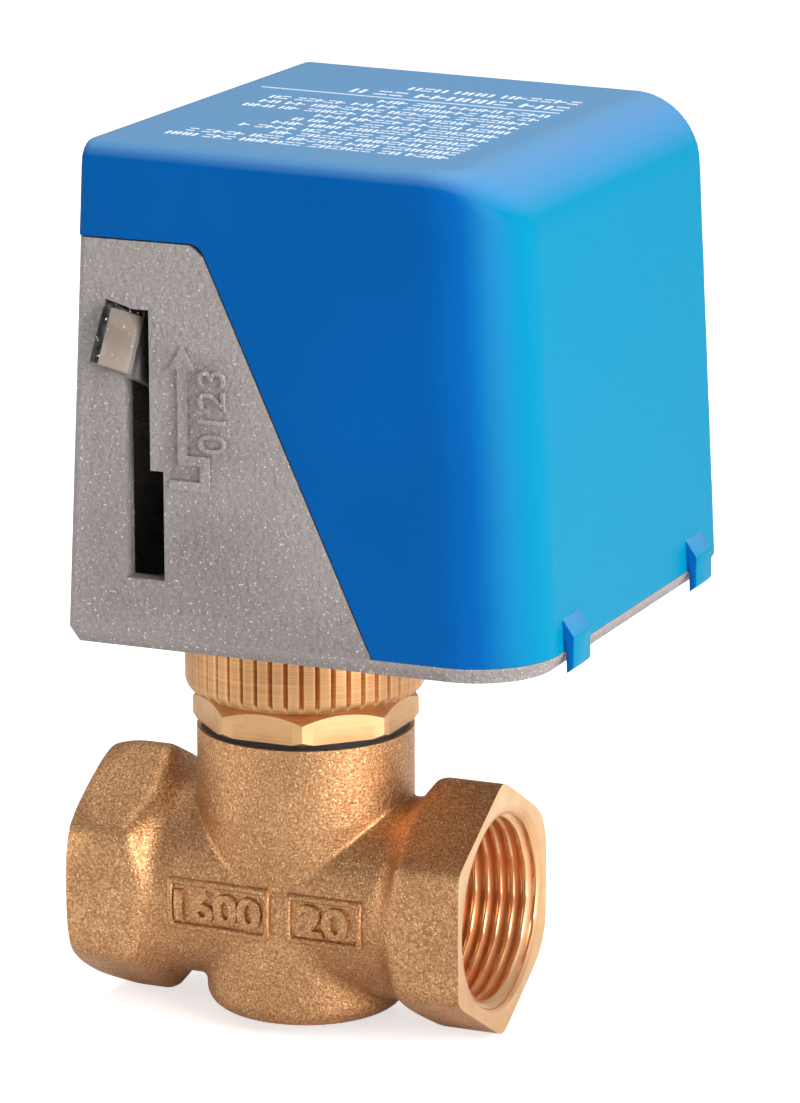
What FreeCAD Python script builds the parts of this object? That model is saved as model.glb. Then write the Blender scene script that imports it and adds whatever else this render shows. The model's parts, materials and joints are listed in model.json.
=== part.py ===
"""Motorised two-way zone valve: a forged brass valve body with two female pipe ports, and a clip-on
spring-return actuator with a die-cast base, a moulded cover and a manual opening lever.

Frame: millimetres, +Z up along the valve stem, +X along the pipe run, +Y to the back.
Origin: on the pipe axis at the first thread crest inside the left port's mouth. The shapes are drawn
about the point where the pipe axis crosses the stem axis, and moved by ORIGIN_X when they are saved.
"""
import FreeCAD, Part
import math
import os

Vector = FreeCAD.Vector
os.makedirs("parts", exist_ok=True)

# ---------------------------------------------------------------- shared dimensions
# valve body
BODY_HALF = 28.15          # half the face-to-face length
FIRST_CREST = 1.9          # depth of the first thread crest inside a port
ORIGIN_X = BODY_HALF - FIRST_CREST
SEAT_TOP, SEAT_BOTTOM = 1.6, -1.4
NECK_TOP, NECK_BORE = 22.45, 11.0
AXIS = (0, 0)
# bonnet, coupling and stem
OCT_Z0, OCT_Z1 = 23.25, 27.4
BONNET_TOP = 33.6
SPIGOT_R, SPIGOT_BORE = 9.0, 6.2
SPIGOT_GROOVE = (35.3, 36.4)
STEM_R = 2.0
CLIP_GROOVE_H = 0.6
PLUG_GROOVE_Z, SPRING_GROOVE_Z = -0.2, 48.3
# actuator box
LEFT_X, RIGHT_X = -17.9, 45.0  # at the underside
HALF_DEPTH = 33.9
BASE_Z, TOP_Z = 39.9, 104.5
LEFT_SLOPE = math.tan(math.radians(2.83))
RIGHT_DRAFT, TOP_TILT = math.radians(2.97), math.radians(1.1)
RIGHT_SLOPE, TOP_SLOPE = math.tan(RIGHT_DRAFT), math.tan(TOP_TILT)
FRONT_CORNER_R = 11.0      # front right upright corner
BACK_CORNER_R = 1.6        # back right upright corner
TOP_SIDE_R, TOP_FRONT_R = 8.5, 2.6
RIM_TOP = 42.0             # the cover sits on the rim here
FLOOR_TOP = 44.0
WALL = 2.0
# bare metal front plate, its right edge leaning from the low point to the top
PLATE_TOP, PLATE_LOW = 92.3, 41.7
PLATE_X_TOP, PLATE_X_LOW = 1.2, 24.4
# mechanism: places on the gear frame are given as (y, z)
CAM_BASE = 5.0             # base circle of the involute cam, and its offset from the stem
PIVOT = (CAM_BASE, 63.5)   # main shaft
CAM_START = 8.0            # flank length of the involute at angle 0
STEM_TOP = PIVOT[1] - CAM_START - 0.02
SHAFT_R, SHAFT_BORE = 2.0, 2.04
SHAFT_GROOVE = (-9.75, -9.25)
AXLE_R, AXLE_HOLE, AXLE_BORE = 1.0, 1.01, 1.04
SECTOR_TEETH, PINION_TEETH, WHEEL_B_TEETH, WHEEL_A_TEETH = 48, 12, 44, 50
MODULE_1, MODULE_2, MODULE_3 = 0.75, 0.5, 0.4
ANGLE_B, ANGLE_A, ANGLE_MOTOR = 60.0, 160.0, 205.0
FRAME_T = 1.2
LEFT_PLATE = (-5.5, -5.5 + FRAME_T)
RIGHT_PLATE = (14.0, 14.0 + FRAME_T)
FRAME_Z = FLOOR_TOP + 0.02
FOOT_TOP = FRAME_Z + FRAME_T
SPACERS = [(-16.5, 64.0), (-9.0, 93.8), (25.0, 62.0), (27.5, 92.5)]
# foot screws, x and y
LEFT_FEET = [(-8.0, 14.0), (-8.0, 24.0)]
RIGHT_FEET = [(18.6, -16.0), (18.6, 22.0)]
# cable, y and z, and the x of the left wall there
CABLE = (18.0, 52.0)
CABLE_WALL = LEFT_X + LEFT_SLOPE * (CABLE[1] - BASE_Z)
# terminals
TERMINAL_X, TERMINAL_YS = 31.0, [9.5 + 5.5 * k for k in range(3)]
LEAD_Z = FLOOR_TOP + 4.0


def polar(centre, radius, degrees):
    angle = math.radians(degrees)
    return (centre[0] + radius * math.cos(angle), centre[1] + radius * math.sin(angle))


GEAR_B = polar(PIVOT, MODULE_1 * (SECTOR_TEETH + PINION_TEETH) / 2, ANGLE_B)
GEAR_A = polar(GEAR_B, MODULE_2 * (WHEEL_B_TEETH + PINION_TEETH) / 2, ANGLE_A)
MOTOR = polar(GEAR_A, MODULE_3 * (WHEEL_A_TEETH + PINION_TEETH) / 2, ANGLE_MOTOR)
MOTOR_SCREWS = [polar(MOTOR, 13.0, degrees) for degrees in (150, 330)]


# ---------------------------------------------------------------- helpers
def save(name, shape):
    if shape.ShapeType == "Compound" and len(shape.Solids) == 1:
        shape = shape.Solids[0]
    shape = shape.copy()
    shape.translate(Vector(ORIGIN_X, 0, 0))
    shape.exportStep("parts/%s.step" % name)


def clean(shape):
    """Merge split faces; the shape is kept as it is where merging fails or loses a solid."""
    try:
        merged = shape.removeSplitter()
        return merged if merged.isValid() and len(merged.Solids) == len(shape.Solids) else shape
    except Exception:
        return shape


def cyl_z(radius, z0, z1, x=0, y=0):
    return Part.makeCylinder(radius, z1 - z0, Vector(x, y, z0), Vector(0, 0, 1))


def cyl_x(radius, x0, x1, centre):
    return Part.makeCylinder(radius, x1 - x0, Vector(x0, *centre), Vector(1, 0, 0))


def ring(outer, inner, z0, z1):
    return cyl_z(outer, z0, z1).cut(cyl_z(inner, z0 - 1, z1 + 1))


def open_ring(outer, inner, z0, z1, half_gap):
    """Retaining clip with its gap to the back."""
    return ring(outer, inner, z0, z1).cut(box(-half_gap, half_gap, 0, outer + 1, z0 - 1, z1 + 1))


def box(x0, x1, y0, y1, z0, z1):
    return Part.makeBox(x1 - x0, y1 - y0, z1 - z0, Vector(x0, y0, z0))


def polygon_face(points):
    return Part.Face(Part.makePolygon(points + [points[0]]))


def poly_x(points, x0, x1):
    return polygon_face([Vector(x0, y, z) for y, z in points]).extrude(Vector(x1 - x0, 0, 0))


def poly_y(points, y0, y1):
    return polygon_face([Vector(x, y0, z) for x, z in points]).extrude(Vector(0, y1 - y0, 0))


def poly_z(points, z0, z1):
    return polygon_face([Vector(x, y, z0) for x, y in points]).extrude(Vector(0, 0, z1 - z0))


def revolve_z(points):
    """Solid of revolution about Z from (radius, z) points."""
    face = polygon_face([Vector(radius, 0, z) for radius, z in points])
    return face.revolve(Vector(0, 0, 0), Vector(0, 0, 1), 360)


def revolve_x(points):
    """Solid of revolution about X from (x, radius) points."""
    face = polygon_face([Vector(x, 0, radius) for x, radius in points])
    return face.revolve(Vector(0, 0, 0), Vector(1, 0, 0), 360)


def fuse(first, *others):
    for other in others:
        first = first.fuse(other)
    return clean(first)


def cut_each(shape, tools):
    for tool in tools:
        shape = shape.cut(tool)
    return shape


def fillet(shape, radius, test):
    """Round the edges that pass the test; the shape stays sharp where the fillet fails."""
    edges = [edge for edge in shape.Edges if test(edge)]
    try:
        rounded = shape.makeFillet(radius, edges)
        if rounded.isValid() and rounded.Volume > 0:
            return rounded
    except Exception:
        pass
    return shape


def middle(edge):
    return edge.valueAt((edge.FirstParameter + edge.LastParameter) / 2)


def gear(centre, module, teeth, phase, x0, x1):
    """Involute spur gear on an X axis, with one tooth centred at the phase angle."""
    backlash, addendum, dedendum, steps = 0.10, 0.85, 1.2, 5
    pressure = math.radians(20)
    pitch_r = module * teeth / 2
    base_r = pitch_r * math.cos(pressure)
    tip_r, root_r = pitch_r + addendum * module, pitch_r - dedendum * module
    half = math.pi / 2 / teeth - backlash / (2 * pitch_r) + math.tan(pressure) - pressure
    start_r = max(base_r, root_r)
    flank = []  # radius and half angle of the tooth
    for i in range(steps):
        radius = start_r + (tip_r - start_r) * i / (steps - 1)
        angle = math.acos(min(1, base_r / radius))
        flank.append((radius, half - (math.tan(angle) - angle)))
    if base_r > root_r:
        flank.insert(0, (root_r, flank[0][1]))
    tooth = [(radius, -width) for radius, width in flank] + flank[::-1]
    points = []
    for k in range(teeth):
        turn = math.radians(phase) + 2 * math.pi * k / teeth
        for radius, offset in tooth:
            points.append((centre[0] + radius * math.cos(turn + offset),
                           centre[1] + radius * math.sin(turn + offset)))
    return poly_x(points, x0, x1)


def pinion(centre, module, angle, x0, x1):
    """Pinion with a tooth gap facing back along the angle to the gear that it meets."""
    return gear(centre, module, PINION_TEETH, angle + 180 + 180.0 / PINION_TEETH, x0, x1)


# ---------------------------------------------------------------- valve body
THREAD_MAJOR = 13.22       # 3/4 inch parallel pipe thread
THREAD_MINOR = 12.06       # crest radius in the right port
THREAD_MINOR_LEFT = 12.23  # in the left port, where the crests are cut back 0.17 mm further
THREAD_PITCH, THREAD_LEN = 1.814, 13.0
THREAD_ROOT_FLAT = 0.18
PORT_CHAMFER_R, PORT_CHAMFER_X = 13.45, 1.25


def hex_port(side):
    hex_corner, hex_inner = 17.53, 18.4   # corner radius, and start from the stem axis
    chamfer_x, chamfer_r, clear_r = 2.6, 14.4, 17.6
    left, right = sorted((side * hex_inner, side * BODY_HALF))
    prism = poly_x([polar(AXIS, hex_corner, degrees) for degrees in range(90, -270, -60)],
                   left, right)
    profile = [(side * x, radius) for x, radius in (
        (hex_inner, 0), (hex_inner, chamfer_r), (hex_inner + chamfer_x, clear_r),
        (BODY_HALF, clear_r), (BODY_HALF, 0))]
    return prism.common(revolve_x(profile[::side]))


def thread_cutter(side):
    """Bore with true-depth 55 degree thread grooves as rings, from the mouth inward."""
    crest = THREAD_MINOR if side > 0 else THREAD_MINOR_LEFT
    profile = [(BODY_HALF + 1, 0), (BODY_HALF + 1, PORT_CHAMFER_R + 1.0),
               (BODY_HALF, PORT_CHAMFER_R), (BODY_HALF - PORT_CHAMFER_X, crest)]
    flank = (THREAD_MAJOR - crest) * math.tan(math.radians(27.5))
    x = BODY_HALF - FIRST_CREST
    while x - THREAD_PITCH > BODY_HALF - THREAD_LEN:
        profile += [(x, crest), (x - flank, THREAD_MAJOR),
                    (x - flank - THREAD_ROOT_FLAT, THREAD_MAJOR),
                    (x - 2 * flank - THREAD_ROOT_FLAT, crest)]
        x -= THREAD_PITCH
    profile += [(BODY_HALF - THREAD_LEN, crest), (BODY_HALF - THREAD_LEN, 0)]
    return revolve_x([(side * x, radius) for x, radius in profile])


def valve_body():
    run_r, run_half = 13.4, 18.4 + 1.5    # barrel between the ports
    neck_r, boss_r, boss_bottom = 14.37, 13.3, -15.9
    passage_r, chamber_r, seat_r = 8.6, 9.6, 7.0
    passage_end = BODY_HALF - THREAD_LEN + 0.5
    passage_in, chamber_in = 4.0, 10.8
    chamber_bottom, chamber_top = -12.4, 14.0

    body = cyl_x(run_r, -run_half, run_half, AXIS)
    for side in (-1, 1):
        body = body.fuse(hex_port(side))
    body = body.fuse(cyl_z(neck_r, 0, NECK_TOP))
    body = clean(body.fuse(revolve_z([
        (0, 0), (0, boss_bottom), (boss_r - 2.4, boss_bottom),
        (boss_r - 0.8, boss_bottom + 0.8), (boss_r, boss_bottom + 2.4), (boss_r, 0)])))
    body = cut_each(body, [thread_cutter(-1), thread_cutter(1)])
    # the left passage runs in below the seat, the right one above it
    low = cyl_x(passage_r, -passage_end, passage_in, AXIS)
    low = low.common(box(-40, 10, -20, 20, -20, SEAT_BOTTOM))
    low = low.fuse(cyl_x(passage_r, -passage_end, -chamber_in, AXIS))
    high = cyl_x(passage_r, -passage_in, passage_end, AXIS)
    high = high.common(box(-10, 40, -20, 20, SEAT_TOP, 20))
    high = high.fuse(cyl_x(passage_r, chamber_in, passage_end, AXIS))
    return clean(cut_each(body, [
        low, high,
        cyl_z(chamber_r, chamber_bottom, SEAT_BOTTOM), cyl_z(chamber_r, SEAT_TOP, chamber_top),
        cyl_z(seat_r, -3, 3), cyl_z(NECK_BORE, chamber_top, NECK_TOP + 1)]))


# ---------------------------------------------------------------- bonnet, gland, stem parts
GLAND_BOTTOM = 29.6
THREAD_STEP = 1.5          # ring spacing of the coupling threads


def bonnet():
    flange = poly_z([polar(AXIS, 14.9, 22.5 + 45 * k) for k in range(8)], OCT_Z0, OCT_Z1)
    flange = flange.common(revolve_z([
        (0, OCT_Z0), (14.35, OCT_Z0), (14.95, OCT_Z0 + 0.5), (14.95, OCT_Z1 - 1.5),
        (13.2, OCT_Z1), (0, OCT_Z1)]))
    plug_r = NECK_BORE - 0.03
    plug = revolve_z([(0, 14.2), (10.2, 14.2), (plug_r, 15.0), (plug_r, OCT_Z0), (0, OCT_Z0)])
    thread = [(0, OCT_Z1), (12.0, OCT_Z1), (12.0, OCT_Z1 + 0.8)]
    for k in range(3):
        z = OCT_Z1 + THREAD_STEP * k
        thread += [(12.5, z + 1.3), (12.5, z + 1.5), (11.8, z + 2.2)]
    thread += [(12.0, BONNET_TOP - 0.3), (11.6, BONNET_TOP), (0, BONNET_TOP)]
    return clean(cut_each(fuse(flange, plug, revolve_z(thread)), [
        cyl_z(8.6, 13, 19.0), cyl_z(STEM_R + 0.04, 10, 40), cyl_z(4.6, 24.2, 40)]))


def bonnet_gasket():
    return ring(13.75, NECK_BORE + 0.02, NECK_TOP, OCT_Z0)


def stem_gland():
    inner, outer = STEM_R + 0.03, 4.58
    return revolve_z([(inner, GLAND_BOTTOM), (outer, GLAND_BOTTOM),
                      (outer, BONNET_TOP), (inner, BONNET_TOP)])


def stem_o_rings():
    ring_r, section_r = 3.32, 1.26
    return Part.makeCompound([
        Part.makeTorus(ring_r, section_r, Vector(0, 0, z), Vector(0, 0, 1))
        for z in (25.55, 28.15)])


def stem():
    shoulder = STEM_TOP - 0.5
    rod = fuse(cyl_z(STEM_R, -6.2, shoulder),
               revolve_z([(0, shoulder), (STEM_R, shoulder), (STEM_R - 0.4, STEM_TOP),
                          (0, STEM_TOP)]))
    return clean(cut_each(rod, [ring(4, STEM_R - 0.35, z, z + CLIP_GROOVE_H)
                                for z in (SPRING_GROOVE_Z, PLUG_GROOVE_Z)]))


def plug_seal():
    """The plug closes on the seat from below, and opens when the stem is pushed down."""
    top = SEAT_BOTTOM - 0.02
    return revolve_z([(STEM_R, -2.6), (8.3, -2.6), (8.3, -2.0), (7.7, top), (6.0, top),
                      (STEM_R, top)])


def plug_holder():
    return revolve_z([(STEM_R, -4.4), (7.0, -4.4), (8.6, -3.6), (8.6, -2.2), (8.32, -2.2),
                      (8.32, -2.62), (STEM_R, -2.62)])


def plug_nut():
    nut = poly_z([polar(AXIS, 3.6, 60 * k) for k in range(6)], -6.4, -4.42)
    return nut.cut(cyl_z(STEM_R, -8, 0))


def stem_clip(outer, groove_z):
    return open_ring(outer, STEM_R - 0.33, groove_z + 0.05, groove_z + CLIP_GROOVE_H - 0.05, 1.2)


def plug_clip():
    return stem_clip(3.2, PLUG_GROOVE_Z)


def spring_cup():
    return revolve_z([(STEM_R, 47.1), (5.3, 47.1), (5.3, 46.2), (5.7, 46.2), (5.7, 48.2),
                      (STEM_R, 48.2)])


def spring_clip():
    return stem_clip(3.4, SPRING_GROOVE_Z)


def valve_spring():
    """Coil spring as flat facets, under the spring cup."""
    coil_r, wire_r, turns = 4.3, 0.45, 5.5
    z0, z1 = BONNET_TOP + 0.05, 47.05
    per_turn, sides = 14, 6
    count = int(turns * per_turn)
    sections = []
    for i in range(count + 1):
        turn = 2 * math.pi * i / per_turn
        z = z0 + wire_r + (z1 - z0 - 2 * wire_r) * i / count
        section = []
        for j in range(sides):
            angle = 2 * math.pi * j / sides
            radius = coil_r + wire_r * math.cos(angle)
            section.append(Vector(radius * math.cos(turn), radius * math.sin(turn),
                                  z + wire_r * math.sin(angle)))
        sections.append(section)
    faces = []
    for this, following in zip(sections[:-1], sections[1:]):
        for j in range(sides):
            k = (j + 1) % sides
            faces.append(polygon_face([this[j], this[k], following[k]]))
            faces.append(polygon_face([this[j], following[k], following[j]]))
    faces += [polygon_face(sections[0]), polygon_face(sections[-1])]
    solid = Part.Solid(Part.Shell(faces))
    if solid.Volume < 0:
        solid.reverse()
    return solid


# ---------------------------------------------------------------- coupling nut on its spigot
def coupling_nut():
    nut_r, root_r, bottom, top, flutes = 15.85, 15.35, 27.6, 39.7, 48
    bore = 12.6 + 0.1          # coupling thread radius and clearance
    # one flute: degrees and radius
    flute = ((-2.9, nut_r), (-0.9, nut_r), (0.9, nut_r), (2.9, nut_r), (3.3, root_r),
             (4.2, root_r))
    nut = poly_z([polar(AXIS, radius, 360.0 / flutes * k + degrees)
                  for k in range(flutes) for degrees, radius in flute], bottom, top)
    nut = nut.common(revolve_z([
        (0, bottom), (14.35, bottom), (nut_r + 0.1, bottom + 2.1), (nut_r + 0.1, top - 0.6),
        (root_r, top), (0, top)]))
    nut = nut.cut(cyl_z(bore, bottom - 1, 36.6)).cut(cyl_z(SPIGOT_R + 0.06, 30, 45))
    grooves = [bottom + 0.9 + THREAD_STEP * k for k in range(4)]
    return clean(cut_each(nut, [ring(13.15, 8, z, z + 0.6) for z in grooves]))


def nut_clip():
    return open_ring(10.9, SPIGOT_R - 0.55, SPIGOT_GROOVE[0] + 0.05, SPIGOT_GROOVE[1] - 0.05, 1.6)


# ---------------------------------------------------------------- actuator outline
def outline(z, inset=0.0):
    """Closed wire of the box in plan at height z: nearly square on the left, round on the right."""
    left = LEFT_X + LEFT_SLOPE * (z - BASE_Z) + inset
    right = RIGHT_X - RIGHT_SLOPE * (z - BASE_Z) - inset
    half = HALF_DEPTH - inset
    front_r = FRONT_CORNER_R - inset
    back_r = max(BACK_CORNER_R - inset, 0.4)
    left_r = 1.2 if inset < 0.5 else 0.3
    # corner arcs: centre x, centre y, radius, start in degrees
    corners = [(right - front_r, -half + front_r, front_r, -90),
               (right - back_r, half - back_r, back_r, 0),
               (left + left_r, half - left_r, left_r, 90),
               (left + left_r, -half + left_r, left_r, 180)]
    arcs = [[Vector(*polar((x, y), radius, start + turn), z) for turn in (0, 45, 90)]
            for x, y, radius, start in corners]
    edges = []
    for before, arc in zip(arcs[-1:] + arcs[:-1], arcs):
        edges += [Part.makeLine(before[-1], arc[0]), Part.Arc(*arc).toShape()]
    return Part.Wire(edges)


def loft(z0, z1, low_inset=0.0, top_inset=0.0):
    return Part.makeLoft([outline(z0, low_inset), outline(z1, top_inset)], True, True)


def plate_outline(gap, low):
    """Front plate in x and z, down to low, with a gap all round for the cover."""
    corner = 1.5               # size of the cut corner at the top right
    run, rise = PLATE_X_LOW - PLATE_X_TOP, PLATE_TOP - PLATE_LOW
    length = math.hypot(run, rise)
    shift = gap * length / rise
    top_x = PLATE_X_TOP + shift - gap * run / rise
    low_x = PLATE_X_LOW + shift + (PLATE_LOW - low) * run / rise
    top = PLATE_TOP + gap
    return [(-60, low), (low_x, low),
            (top_x + corner * run / length, top - corner * rise / length),
            (top_x - corner * 0.8, top), (-60, top)]


# ---------------------------------------------------------------- base casting
def lever_slot():
    """Cutters for the stepped slot and for the relief behind the lever's tab."""
    left, right, right_low = -9.25, -5.7, -3.9
    top, step, bottom = 83.7, 63.3, 49.2
    relief_left, relief_foot, relief_head = -11.7, 78.6, 84.75
    slot = poly_y([(left, bottom), (right_low, bottom), (right_low, step), (right, step),
                   (right, top), (left, top)], -HALF_DEPTH - 5, -HALF_DEPTH + 6)
    relief = poly_y([(relief_left, relief_foot), (left + 0.1, relief_foot),
                     (left + 0.9, top - 0.1), (left + 0.9, top + 0.15),
                     (relief_left, relief_head)], -HALF_DEPTH - 1, -HALF_DEPTH + 6)
    return [slot, relief]


def relief_arrow():
    """Raised arrow that follows the lever's path: a shaft, two steps at its foot and a head."""
    front, back = -HALF_DEPTH - 0.35, -HALF_DEPTH + 0.5
    half = 0.62                # half the line width
    shaft_x, jog_x, foot_x = -1.1, 1.9, -2.9
    jog_z, foot_z = 64.5, 61.2
    bars = [(shaft_x - half, shaft_x + half, jog_z, 77.2),
            (shaft_x - half, jog_x + half, jog_z, jog_z + 2 * half),
            (jog_x - half, jog_x + half, foot_z, 65.0),
            (foot_x, jog_x + half, foot_z, foot_z + 2 * half)]
    head = poly_y([(shaft_x - 1.75, 76.6), (shaft_x, 79.6), (shaft_x + 1.75, 76.6)], front, back)
    return fuse(*[box(x0, x1, front, back, z0, z1) for x0, x1, z0, z1 in bars], head)


def base_casting():
    rim_edge = RIM_TOP - 0.1
    floor_inset = WALL + 0.15
    base = loft(BASE_Z, rim_edge, 1.2, 0.0).fuse(loft(rim_edge, RIM_TOP))
    base = base.fuse(loft(RIM_TOP, FLOOR_TOP, floor_inset, floor_inset))
    # metal front plate and left wall
    shell = loft(RIM_TOP, 96.0).cut(loft(FLOOR_TOP - 3, 97.0, 2.5, 2.5))
    front = shell.common(poly_y(plate_outline(0.0, RIM_TOP), -HALF_DEPTH - 5, -HALF_DEPTH + 2.5))
    left = shell.common(box(-30, LEFT_X + 6.4, -HALF_DEPTH - 1, HALF_DEPTH - 6.0,
                            RIM_TOP, PLATE_TOP))
    base = base.fuse(front).fuse(left)
    base = cut_each(base, lever_slot())
    # spigot that carries the nut
    base = base.fuse(cyl_z(SPIGOT_R, 34.2, BASE_Z + 1))
    base = base.cut(cyl_z(SPIGOT_BORE, 30, 50)).cut(ring(14, SPIGOT_R - 0.6, *SPIGOT_GROOVE))
    base = base.fuse(relief_arrow())
    # cable entry in the left wall, then the foot screw holes
    base = base.cut(cyl_x(4.0, -25, -10, CABLE))
    return clean(cut_each(base, [cyl_z(1.25, 41.5, 50, x, y) for x, y in LEFT_FEET + RIGHT_FEET]))


# ---------------------------------------------------------------- cover
def top_z(x):
    return TOP_Z - TOP_SLOPE * (x - LEFT_X)


def top_cut(drop=0.0):
    """Everything above the slightly sloping top face."""
    return poly_y([(-40, top_z(-40) - drop), (80, top_z(80) - drop), (80, 130), (-40, 130)],
                  -60, 60)


def rounding_cutter(point, start, end, reach, far, sweep):
    """Swept region outside an arc; point(angle, extra) lies extra beyond the arc's radius."""
    arc = Part.Arc(point(start, 0), point((start + end) / 2, 0), point(end, 0))
    corners = [point(end, 0), point(end, reach), far, point(start, reach), point(start, 0)]
    lines = [Part.makeLine(a, b) for a, b in zip(corners, corners[1:])]
    return Part.Face(Part.Wire([arc.toShape()] + lines)).extrude(sweep)


def round_side(radius, inset):
    """Cutter that rounds the long edge between the top and the right side."""
    # the arc's centre is where the side and top lines cross, both moved in by inset plus radius
    offset = inset + radius
    cos_side, sin_side = math.cos(RIGHT_DRAFT), math.sin(RIGHT_DRAFT)
    cos_top, sin_top = math.cos(TOP_TILT), math.sin(TOP_TILT)
    side = cos_side * RIGHT_X + sin_side * BASE_Z - offset
    top = sin_top * LEFT_X + cos_top * TOP_Z - offset
    det = cos_side * cos_top - sin_side * sin_top
    x = (side * cos_top - top * sin_side) / det
    z = (top * cos_side - side * sin_top) / det

    def point(angle, extra):
        return Vector(x + (radius + extra) * math.cos(angle), -60,
                      z + (radius + extra) * math.sin(angle))

    return rounding_cutter(point, RIGHT_DRAFT, math.pi / 2 - TOP_TILT, 12,
                           Vector(x + 30, -60, z + 30), Vector(0, 120, 0))


def round_front(radius):
    """Cutter that rounds the edge between the top and the front."""
    x, length = -40, 120
    y, z = -HALF_DEPTH + radius, top_z(x) - radius

    def point(angle, extra):
        return Vector(x, y - (radius + extra) * math.cos(angle),
                      z + (radius + extra) * math.sin(angle))

    return rounding_cutter(point, 0, math.pi / 2, 8, Vector(x, y - 16, z + 16),
                           Vector(length, 0, -length * TOP_SLOPE))


def tab_profile(wall, top_offset):
    """Snap tab in section, as distance outward and z, that hangs past the rim."""
    bottom, top, joint = 39.2, 46.2, RIM_TOP + 0.05
    return [(wall + 0.1, bottom), (wall + 1.15, bottom + 0.9), (wall + 1.15, top - 2.2),
            (wall + top_offset, top), (wall - 0.9, top), (wall - 0.9, joint), (wall, joint)]


def cover():
    gap = 0.22                 # round the metal plate
    solid = cut_each(loft(RIM_TOP + 0.05, 108.0),
                     [top_cut(), round_side(TOP_SIDE_R, 0.01), round_front(TOP_FRONT_R)])
    hollow = cut_each(loft(RIM_TOP - 1, 108.0, WALL, WALL),
                      [top_cut(WALL), round_side(TOP_SIDE_R - WALL, WALL + 0.01)])
    shell = solid.cut(hollow)
    shell = shell.cut(poly_y(plate_outline(gap, 30), -HALF_DEPTH - 5, -HALF_DEPTH + 6.0))
    # the metal left wall takes the place of the cover's left side
    shell = shell.cut(box(-40, LEFT_X + 6.6, -HALF_DEPTH - 5, HALF_DEPTH - 5.8,
                          30, PLATE_TOP + gap))
    # two snap tabs on the right side, two on the back
    right_tab = tab_profile(RIGHT_X + 0.12, -0.35)
    back_tab = tab_profile(HALF_DEPTH + 0.12, -0.05)
    for y0, y1 in ((-21.2, -15.4), (22.5, 28.3)):
        shell = shell.fuse(poly_y(right_tab, y0, y1))
    for x0, x1 in ((-12.0, -6.0), (24.0, 30.0)):
        shell = shell.fuse(poly_x(back_tab, x0, x1))
    return clean(shell)


# ---------------------------------------------------------------- gear frame
def frame_plate(x0, x1, front_y):
    return poly_x([(front_y, 60), (front_y, 92), (-14, 98), (25, 98), (30.5, 93), (30.5, 60),
                   (26, FRAME_Z), (12, FRAME_Z), (12, 52), (-12, 52), (-12, FRAME_Z),
                   (-20, FRAME_Z)], x0, x1)


def shaft_holes(x0, x1):
    return [cyl_x(radius, x0, x1, centre)
            for centre, radius in ((PIVOT, SHAFT_BORE), (GEAR_B, AXLE_HOLE), (GEAR_A, AXLE_HOLE))]


def foot_holes(feet):
    return [cyl_z(1.3, 43, 47, x, y) for x, y in feet]


def frame_plate_left():
    # the front leg is cut away
    plate = frame_plate(*LEFT_PLATE, -20).cut(box(-10, 0, -25, 10.5, 40, 53))
    plate = plate.fuse(box(-11.0, LEFT_PLATE[1], 11.5, 26.5, FRAME_Z, FOOT_TOP))
    plate = cut_each(plate, shaft_holes(-12, 0) + [cyl_x(1.25, -12, 0, c) for c in SPACERS]
                     + foot_holes(LEFT_FEET))
    # round window
    return clean(plate.cut(cyl_x(4.5, -12, 0, (-11.5, 74.5))))


def frame_plate_right():
    plate = frame_plate(*RIGHT_PLATE, -23)
    for y0, y1 in ((-19.9, -12.0), (12.0, 26.0)):
        plate = plate.fuse(box(RIGHT_PLATE[0], 21.8, y0, y1, FRAME_Z, FOOT_TOP))
    return clean(cut_each(plate, shaft_holes(10, 20) + [cyl_x(3.2, 10, 20, MOTOR)]
                          + [cyl_x(1.25, 10, 20, centre) for centre in SPACERS]
                          + [cyl_x(1.05, 10, 20, centre) for centre in MOTOR_SCREWS]
                          + foot_holes(RIGHT_FEET)))


def frame_spacers():
    return Part.makeCompound([
        cyl_x(2.4, LEFT_PLATE[1] + 0.01, RIGHT_PLATE[0] - 0.01, centre)
        .cut(cyl_x(1.05, -20, 30, centre)) for centre in SPACERS])


def screw_x(centre, seat, end, head_r=2.0, head_h=1.3, side=1):
    """Cross-slotted screw along X, its head on the left of the seat (side 1) or right (-1)."""
    y, z = centre
    face = seat - side * head_h
    screw = cyl_x(1.0, min(seat, end), max(seat, end), centre)
    screw = screw.fuse(cyl_x(head_r, min(seat, face), max(seat, face), centre))
    # on a head that faces right the slots lie 0.1 under the face
    x0, x1 = sorted((face - 0.1, face + side * 0.7))
    return clean(screw.cut(box(x0, x1, y - 3, y + 3, z - 0.3, z + 0.3))
                 .cut(box(x0, x1, y - 0.3, y + 0.3, z - 1.4, z + 1.4)))


def screw_z(x, y, seat, end):
    """Cross-slotted screw pointing down."""
    face = seat + 1.5
    screw = cyl_z(1.2, end, seat, x, y).fuse(cyl_z(2.2, seat, face, x, y))
    return clean(screw.cut(box(x - 1.5, x + 1.5, y - 0.3, y + 0.3, face - 0.8, face + 1))
                 .cut(box(x - 0.3, x + 0.3, y - 1.5, y + 1.5, face - 0.8, face + 1)))


def frame_screws():
    left = [screw_x(centre, LEFT_PLATE[0] - 0.01, 5.0) for centre in SPACERS]
    right = [screw_x(centre, RIGHT_PLATE[1] + 0.01, 6.0, head_h=1.2, side=-1)
             for centre in SPACERS]
    return Part.makeCompound(left + right)


def foot_screws():
    return Part.makeCompound([screw_z(x, y, FOOT_TOP + 0.02, 41.6)
                              for x, y in LEFT_FEET + RIGHT_FEET])


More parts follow.
